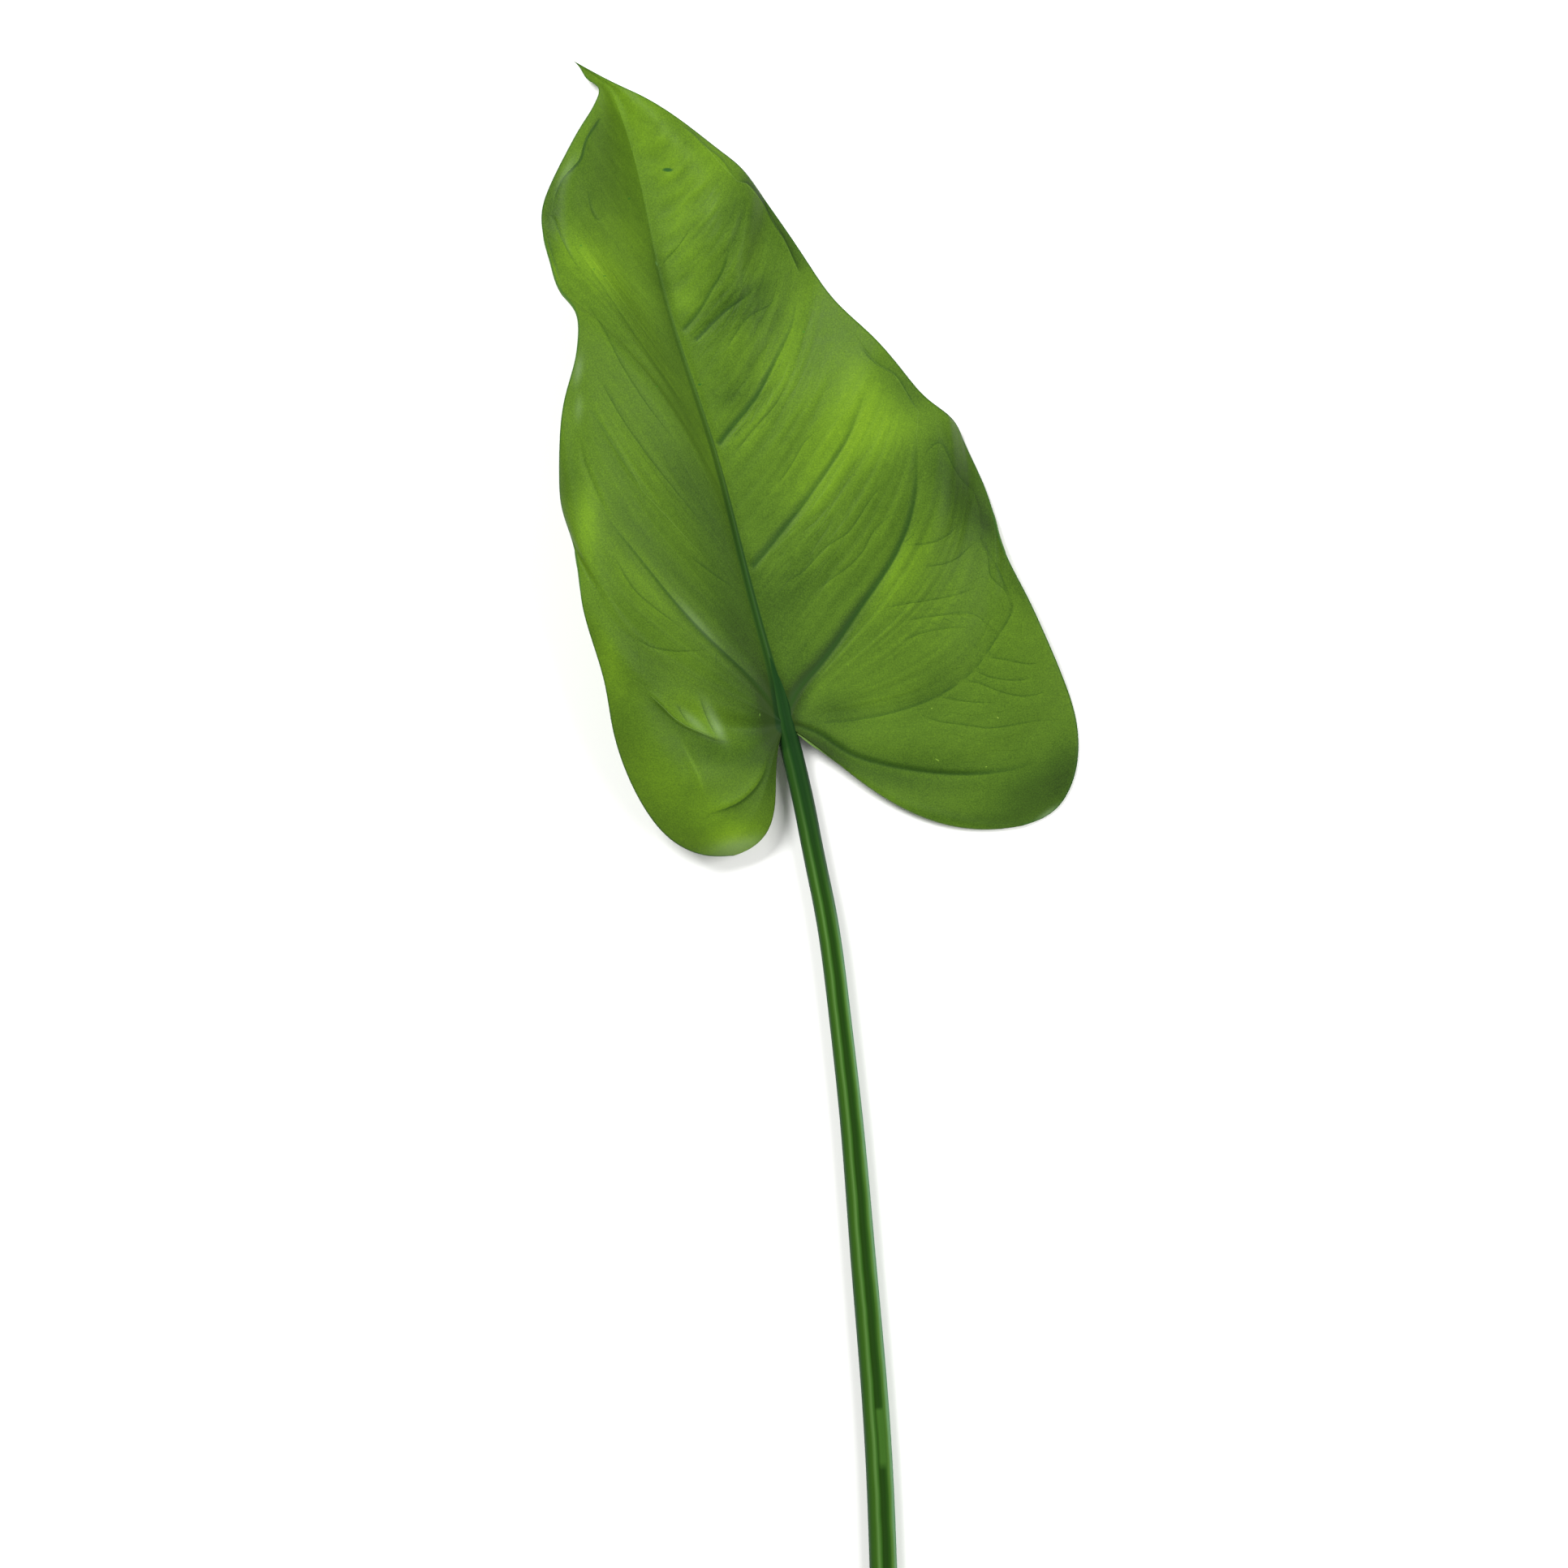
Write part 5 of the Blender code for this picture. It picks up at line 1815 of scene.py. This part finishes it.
# Fine veins, crests and wrinkles, each drawn along the points of its line in plan.
FINE_LINES = {
    Weight.VEIN: (
        # Right half, between the strong veins.
        ((-1.0, 43.0), (5.8, 47.2), (13.2, 55.0), (19.2, 58.8), (23.0, 64.0), (27.5, 70.8), (34.2, 76.0),
         (38.8, 77.5)),
        ((9.5, 40.8), (14.8, 45.2), (19.2, 48.2), (24.5, 54.2), (26.8, 58.8), (31.2, 63.2), (35.8, 67.0)),
        ((-1.8, 74.5), (2.8, 81.2), (5.8, 86.5), (9.5, 90.2)),
        ((-15.5, 83.2), (-9.2, 91.2), (-3.0, 98.2), (2.0, 107.8)),
        # From the strong vein out to the margin.
        ((42.5, 82.2), (44.8, 85.0), (47.2, 86.5), (50.0, 82.8), (53.8, 76.0), (58.2, 70.8), (59.8, 64.8),
         (60.2, 57.8)),
        ((37.2, 55.0), (46.2, 56.2), (50.8, 58.8), (55.2, 64.5)),
        ((42.0, 48.5), (48.2, 49.2), (53.5, 51.5), (57.2, 55.2), (60.0, 57.0)),
        ((30.2, 35.8), (37.5, 37.2), (42.8, 38.0), (51.0, 39.5), (53.5, 40.2), (60.8, 43.0)),
        ((36.5, 31.8), (42.8, 33.0), (51.0, 34.0), (59.0, 33.5), (61.8, 31.2), (65.2, 28.2)),
        ((35.8, 25.5), (41.0, 27.8), (48.2, 29.5), (53.5, 30.0), (58.0, 29.5)),
        ((60.2, 57.8), (62.5, 51.5), (63.0, 46.2), (68.0, 40.8), (70.2, 35.5)),
        # The right lobe.
        ((61.8, 21.0), (66.2, 20.2), (71.5, 19.2), (77.0, 18.8), (79.2, 19.8)),
        ((58.0, 17.0), (62.5, 14.8), (68.0, 13.8), (73.2, 13.8), (77.8, 15.2)),
        ((53.5, 13.2), (59.0, 13.0), (64.2, 11.0), (69.8, 9.2), (75.0, 8.8), (80.5, 10.2), (84.0, 10.8)),
        ((46.5, 8.8), (53.5, 7.5), (60.8, 6.8), (66.2, 7.0)),
        ((41.0, 3.5), (46.5, 1.2), (53.5, 0.2), (62.5, -1.0), (69.8, -0.2), (77.8, 1.2), (86.0, 1.5)),
        # Near the tip.
        ((-18.2, 115.2), (-13.8, 122.0), (-9.2, 126.5), (-4.8, 128.8), (-3.0, 135.8)),
        ((-37.8, 141.5), (-31.8, 148.2), (-28.8, 152.8)),
        # The left half.
        ((-60.2, 163.2), (-59.2, 157.2), (-57.2, 154.2), (-54.2, 157.2)),
        ((-26.1, 8.7), (-23.9, 2.1), (-20.6, -4.2)),
        ((-33.0, 6.0), (-31.8, 3.8), (-29.6, 0.4)),
        ((-28.8, 51.2), (-20.8, 45.2), (-17.8, 43.2), (-14.8, 41.2)),
        ((-61.0, 128.8), (-55.0, 119.8), (-50.5, 110.8), (-41.8, 97.0), (-31.8, 84.2)),
        ((-56.8, 105.8), (-50.5, 94.5), (-41.8, 81.8), (-29.2, 66.2), (-19.8, 55.2)),
        ((-51.8, 50.8), (-45.8, 40.8), (-36.8, 33.2), (-29.2, 27.8)),
        ((-45.8, 26.2), (-39.8, 23.2), (-31.8, 22.2), (-23.8, 22.8)),
    ),
    Weight.HAIR: (
        ((3.2, 49.2), (8.8, 53.8), (15.0, 57.0), (21.2, 61.5)),
        ((41.0, 73.8), (44.0, 76.0), (46.2, 76.8)),
        ((40.2, 62.5), (46.2, 63.2), (50.8, 64.8)),
        ((40.0, 54.2), (43.8, 55.5), (49.0, 56.5), (53.5, 59.8), (55.0, 62.0)),
        ((47.2, 40.8), (53.5, 41.8), (59.0, 44.8), (62.5, 46.5)),
        ((48.2, 4.2), (57.2, 3.0), (66.2, 4.0), (71.5, 5.8), (77.8, 5.8)),
        ((42.8, -3.2), (51.8, -2.8), (59.0, -4.8), (66.2, -4.2), (71.5, -2.8), (80.5, -3.2)),
        ((51.8, -10.5), (57.2, -8.8), (64.5, -7.8), (71.5, -7.8), (77.8, -6.0)),
        ((71.5, -13.2), (77.0, -11.8), (81.5, -8.8), (83.2, -5.0)),
        ((76.1, 13.8), (77.6, 12.2), (78.3, 10.3)),
        ((60.6, 32.8), (62.0, 30.2), (66.3, 27.9)),
        ((42.3, 18.7), (45.8, 19.3), (49.4, 19.1)),
        ((46.6, 18.0), (52.0, 17.2), (57.0, 18.4)),
        ((-16.8, 149.0), (-13.0, 148.2), (-8.5, 151.2)),
        ((-13.2, 143.8), (-11.0, 146.8), (-6.5, 149.8)),
        ((-19.8, 136.2), (-16.0, 137.8), (-12.2, 140.8), (-10.0, 142.2)),
        ((-22.0, 132.5), (-17.5, 134.8), (-12.2, 137.0)),
        ((-17.5, 123.5), (-13.0, 127.2), (-9.2, 128.8), (-4.8, 129.5)),
        ((21.2, 120.5), (25.8, 113.8), (29.5, 110.0)),
        ((-64.0, 153.5), (-58.0, 144.5), (-52.0, 137.0), (-46.8, 126.5), (-41.8, 118.2)),
        ((-44.8, 26.2), (-43.8, 15.2), (-41.8, 9.2)),
        ((-56.8, 43.2), (-57.8, 39.2), (-55.2, 32.2), (-56.2, 29.2)),
        ((-36.8, 18.2), (-31.8, 11.2), (-28.8, 10.2)),
    ),
    Weight.CREST: (
        ((-48.0, 80.5), (-43.2, 70.8), (-35.5, 62.8), (-24.8, 51.2)),
        ((-32.5, 184.5), (-28.8, 182.0), (-24.2, 177.5), (-19.8, 172.2), (-14.8, 167.0), (-11.8, 166.2),
         (-7.2, 161.0), (-3.5, 155.0), (-0.5, 149.8), (2.5, 143.0), (4.4, 138.5)),
        ((23.0, 116.5), (28.2, 110.5), (33.5, 107.5), (38.8, 99.2), (41.0, 96.2), (40.4, 90.0),
         (40.8, 84.0)),
        ((-57.2, 185.6), (-60.0, 180.8), (-62.2, 176.0), (-63.2, 172.4), (-67.6, 167.4), (-70.6, 161.4),
         (-71.3, 155.8)),
        ((-73.0, 149.4), (-70.2, 140.4), (-67.8, 133.2)),
    ),
    Weight.EDGE: (
        ((-40.6, 8.5), (-38.1, 6.1), (-34.1, 2.0), (-29.6, -0.9), (-24.5, -3.0), (-20.0, -4.6),
         (-18.0, -4.8)),
    ),
}


@dataclass
class VeinNet:
    """The fine raised veins, crests and wrinkles that lie in the blade's upper skin.

    Attributes:
        step: distance between points along a line.
        sides: points round a line.
        wander: how far a line strays from its drawn points.
        wander_length: how long a stray is.
        sunk: how deep the middle of a line lies, as a share of its radius.
        keep: how much of the blade's own tone a line keeps.
        above: height that the lines are dropped on the blade from.
        seed: seed of everything uneven.
    """

    step: float = 0.7
    sides: int = 6
    wander: float = 0.5
    wander_length: float = 3.0
    sunk: float = 0.5
    keep: float = 0.75
    above: float = 60.0
    seed: int = 11

    def tree(self, values: dict) -> Tree:
        """Builds the tree that lays the lines on the blade and gives them their bodies.

        Args:
            values: the value of each named input.

        Returns:
            The Geometry Nodes tree.
        """
        tree, add, given = new_group("Fine veins", values)
        named = {
            name: add("GeometryNodeInputNamedAttribute", {"Name": name})[0]
            for name in ("size", "own_tone", "own_sheen", *SKIN_FIELDS, *LINE_FIELDS)
        }
        blade = add("GeometryNodeObjectInfo", {"Object": given["Blade"]})["Geometry"]
        curve = add("GeometryNodeMeshToCurve", {"Mesh": given["Geometry"]})[0]
        fine = add("GeometryNodeResampleCurve", {"Curve": curve, "Length": given["Step"]}, mode="LENGTH")
        laid = self.strayed(add, fine[0], given)
        down = {"Target Geometry": blade, "Ray Direction": (0.0, 0.0, -1.0), "Ray Length": 1.0}
        hit = add("GeometryNodeRaycast", down)
        size = add("ShaderNodeMath", (named["size"], self.taper(add)), operation="MULTIPLY")[0]
        deep = add("ShaderNodeMath", (size, given["Sunk"]), operation="MULTIPLY")[0]
        into = add("ShaderNodeVectorMath", {0: hit["Hit Normal"], "Scale": deep}, operation="SCALE")
        lower = add("ShaderNodeVectorMath", (hit["Hit Position"], into[0]), operation="SUBTRACT")[0]
        carried = [("body", size, "FLOAT"), ("laid", lower, "FLOAT_VECTOR")]
        for name in (*SKIN_FIELDS, *LINE_FIELDS):
            ray = add("GeometryNodeRaycast", {**down, "Attribute": named[name]}, data_type="FLOAT")
            carried.append((name, ray["Attribute"], "FLOAT"))
        for name, value, kind in carried:
            if name == "tone":
                kept = (value, given["Keep Tone"], named["own_tone"])
                value = add("ShaderNodeMath", kept, operation="MULTIPLY_ADD")[0]
            if name == "sheen":
                value = add("ShaderNodeMath", (value, named["own_sheen"]), operation="ADD")[0]
            laid = add("GeometryNodeStoreNamedAttribute", {
                "Geometry": laid, "Name": name, "Value": value,
            }, data_type=kind)[0]
        on_blade = add("GeometryNodeInputNamedAttribute", {"Name": "laid"}, data_type="FLOAT_VECTOR")
        body = add("GeometryNodeInputNamedAttribute", {"Name": "body"})[0]
        placed = add("GeometryNodeSetPosition", {"Geometry": laid, "Position": on_blade[0]})
        ring = add("GeometryNodeCurvePrimitiveCircle", {"Resolution": given["Sides"], "Radius": 1.0})
        bodies = add("GeometryNodeCurveToMesh", {
            "Curve": placed[0], "Profile Curve": ring[0], "Scale": body, "Fill Caps": True,
        })[0]
        add("NodeGroupOutput", {"Geometry": dressed(add, bodies, given["Skin"])})
        return tree

    def strayed(self, add: Adder, curve: Socket, given: dict[str, Socket]) -> Socket:
        """Makes the lines stray a little from their drawn points.

        Args:
            add: adds a node to the tree.
            curve: the lines.
            given: the tree's inputs by name.

        Returns:
            The strayed lines.
        """
        place = add("GeometryNodeInputPosition")[0]
        lumps = add("ShaderNodeMath", (1.0, given["Wander Length"]), operation="DIVIDE")[0]
        noise = add("ShaderNodeTexNoise", {
            "Vector": place, "W": given["Seed"], "Scale": lumps, "Detail": 2.0,
        }, noise_dimensions="4D")["Color"]
        even = add("ShaderNodeVectorMath", (noise, (0.5, 0.5, 0.5)), operation="SUBTRACT")[0]
        stray = add("ShaderNodeVectorMath", {0: even, "Scale": given["Wander"]}, operation="SCALE")[0]
        return add("GeometryNodeSetPosition", {"Geometry": curve, "Offset": stray})[0]

    def taper(self, add: Adder) -> Socket:
        """Thins the lines at both ends.

        Args:
            add: adds a node to the tree.

        Returns:
            The share of its radius that a line has at a point.
        """
        along = add("GeometryNodeSplineParameter")["Factor"]
        ends = [
            add("ShaderNodeMapRange", (along, *limits))[0]
            for limits in ((0.0, 0.2, 0.35, 1.0), (0.6, 1.0, 1.0, 0.3))
        ]
        return add("ShaderNodeMath", (ends[0], ends[1]), operation="MULTIPLY")[0]

    def build(self, blade: Object, skin: Material) -> Object:
        """Builds the fine veins on the finished blade.

        Args:
            blade: the blade's piece.
            skin: the blade's material, which the veins share.

        Returns:
            The veins' piece.
        """
        points, edges, marks = [], [], []
        for weight, lines in FINE_LINES.items():
            for line in lines:
                first = len(points)
                points += [(across, along, self.above) for across, along in line]
                edges += [(first + i, first + i + 1) for i in range(len(line) - 1)]
                marks += [weight.value] * len(line)
        source = link_mesh("vein_lines", np.array(points), edges, [])
        marks = np.array(marks)
        store(source, "size", marks[:, 0] * METRES)
        store(source, "own_tone", marks[:, 1])
        store(source, "own_sheen", marks[:, 2])
        values = {
            "Blade": blade, "Step": self.step * METRES, "Sides": self.sides,
            "Wander": self.wander * METRES, "Wander Length": self.wander_length * METRES,
            "Sunk": self.sunk, "Keep Tone": self.keep, "Seed": float(self.seed), "Skin": skin,
        }
        return grown(source, self.tree(values), values, "leaf_fine_veins")


@dataclass
class Studio:
    """The plain floor, the soft lights and the camera above the leaf.

    Attributes:
        field_width: width of what the camera sees at the surface, in metres.
        centre: the middle of the view in plan, in metres.
        aim: what the lights face in plan, in metres.
        lens: focal length of the camera in millimetres.
        sensor: width of its sensor in millimetres.
        far: how far it sees, in metres.
        floor_half: half the length of the floor's sides, in metres.
        floor_gap: how far the floor lies under the leaf, in metres.
        sky: strength of the even white light from all round.
    """

    field_width: float = 0.483
    centre: tuple = (-0.008375, 0.021875)
    aim: tuple = (-0.008375, 0.071875)
    lens: float = 200.0
    sensor: float = 36.0
    far: float = 20.0
    floor_half: float = 3.0
    floor_gap: float = 0.0003
    sky: float = 0.27

    def floor(self) -> None:
        """Lays the floor just under the leaf."""
        data = bpy.data.meshes.new("floor")
        half, height = self.floor_half, -self.floor_gap
        corners = [(-half, -half), (half, -half), (half, half), (-half, half)]
        data.from_pydata([(*corner, height) for corner in corners], [], [(0, 1, 2, 3)])
        data.materials.append(FloorFinish().material())
        obj = linked("floor", data)

    def light(self, name: str, place: tuple, power: float, size: float) -> None:
        """Hangs one soft square light.

        Args:
            name: the light's name.
            place: where it hangs, in metres.
            power: its power in watts.
            size: the length of its sides in metres.
        """
        data = bpy.data.lights.new(name, "AREA")
        data.energy = power
        data.size = size
        obj = linked(name, data)
        obj.location = place
        direction = obj.location.copy()
        direction.x -= self.aim[0]
        direction.y -= self.aim[1]
        obj.rotation_mode = "QUATERNION"
        obj.rotation_quaternion = direction.to_track_quat("Z", "Y")

    def build(self) -> None:
        """Builds the whole studio."""
        self.floor()
        self.light("key", (-0.9, 1.0, 1.5), 46.0, 0.7)
        self.light("fill", (1.2, 0.1, 1.5), 34.0, 1.2)
        world = bpy.data.worlds.new("studio")
        world.use_nodes = True
        sky = world.node_tree.nodes["Background"].inputs
        sky["Color"].default_value = (1.0, 1.0, 1.0, 1.0)
        sky["Strength"].default_value = self.sky
        bpy.context.scene.world = world
        data = bpy.data.cameras.new("camera")
        data.lens = self.lens
        data.sensor_width = self.sensor
        data.clip_end = self.far
        camera = linked("camera", data)
        camera.location = (*self.centre, self.field_width * self.lens / self.sensor)
        bpy.context.scene.camera = camera
        bpy.context.scene.view_settings.view_transform = "Standard"


def main() -> None:
    """Builds each piece of the leaf, then the studio round it."""
    logging.basicConfig(level=logging.INFO, format="%(name)s: %(message)s")
    skin = LaminaFinish().material()
    blade = Blade().build(skin)
    veins = VeinNet().build(blade, skin)
    stalk = Stalk().build(StalkFinish().material(), CutFinish().material())
    for piece in (blade, veins, stalk):
        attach(piece, "root")
        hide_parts("leaf")
        log.info("%s: %d faces", piece.name, len(piece.data.polygons))
    Studio().build()


if __name__ == "__main__":
    main()
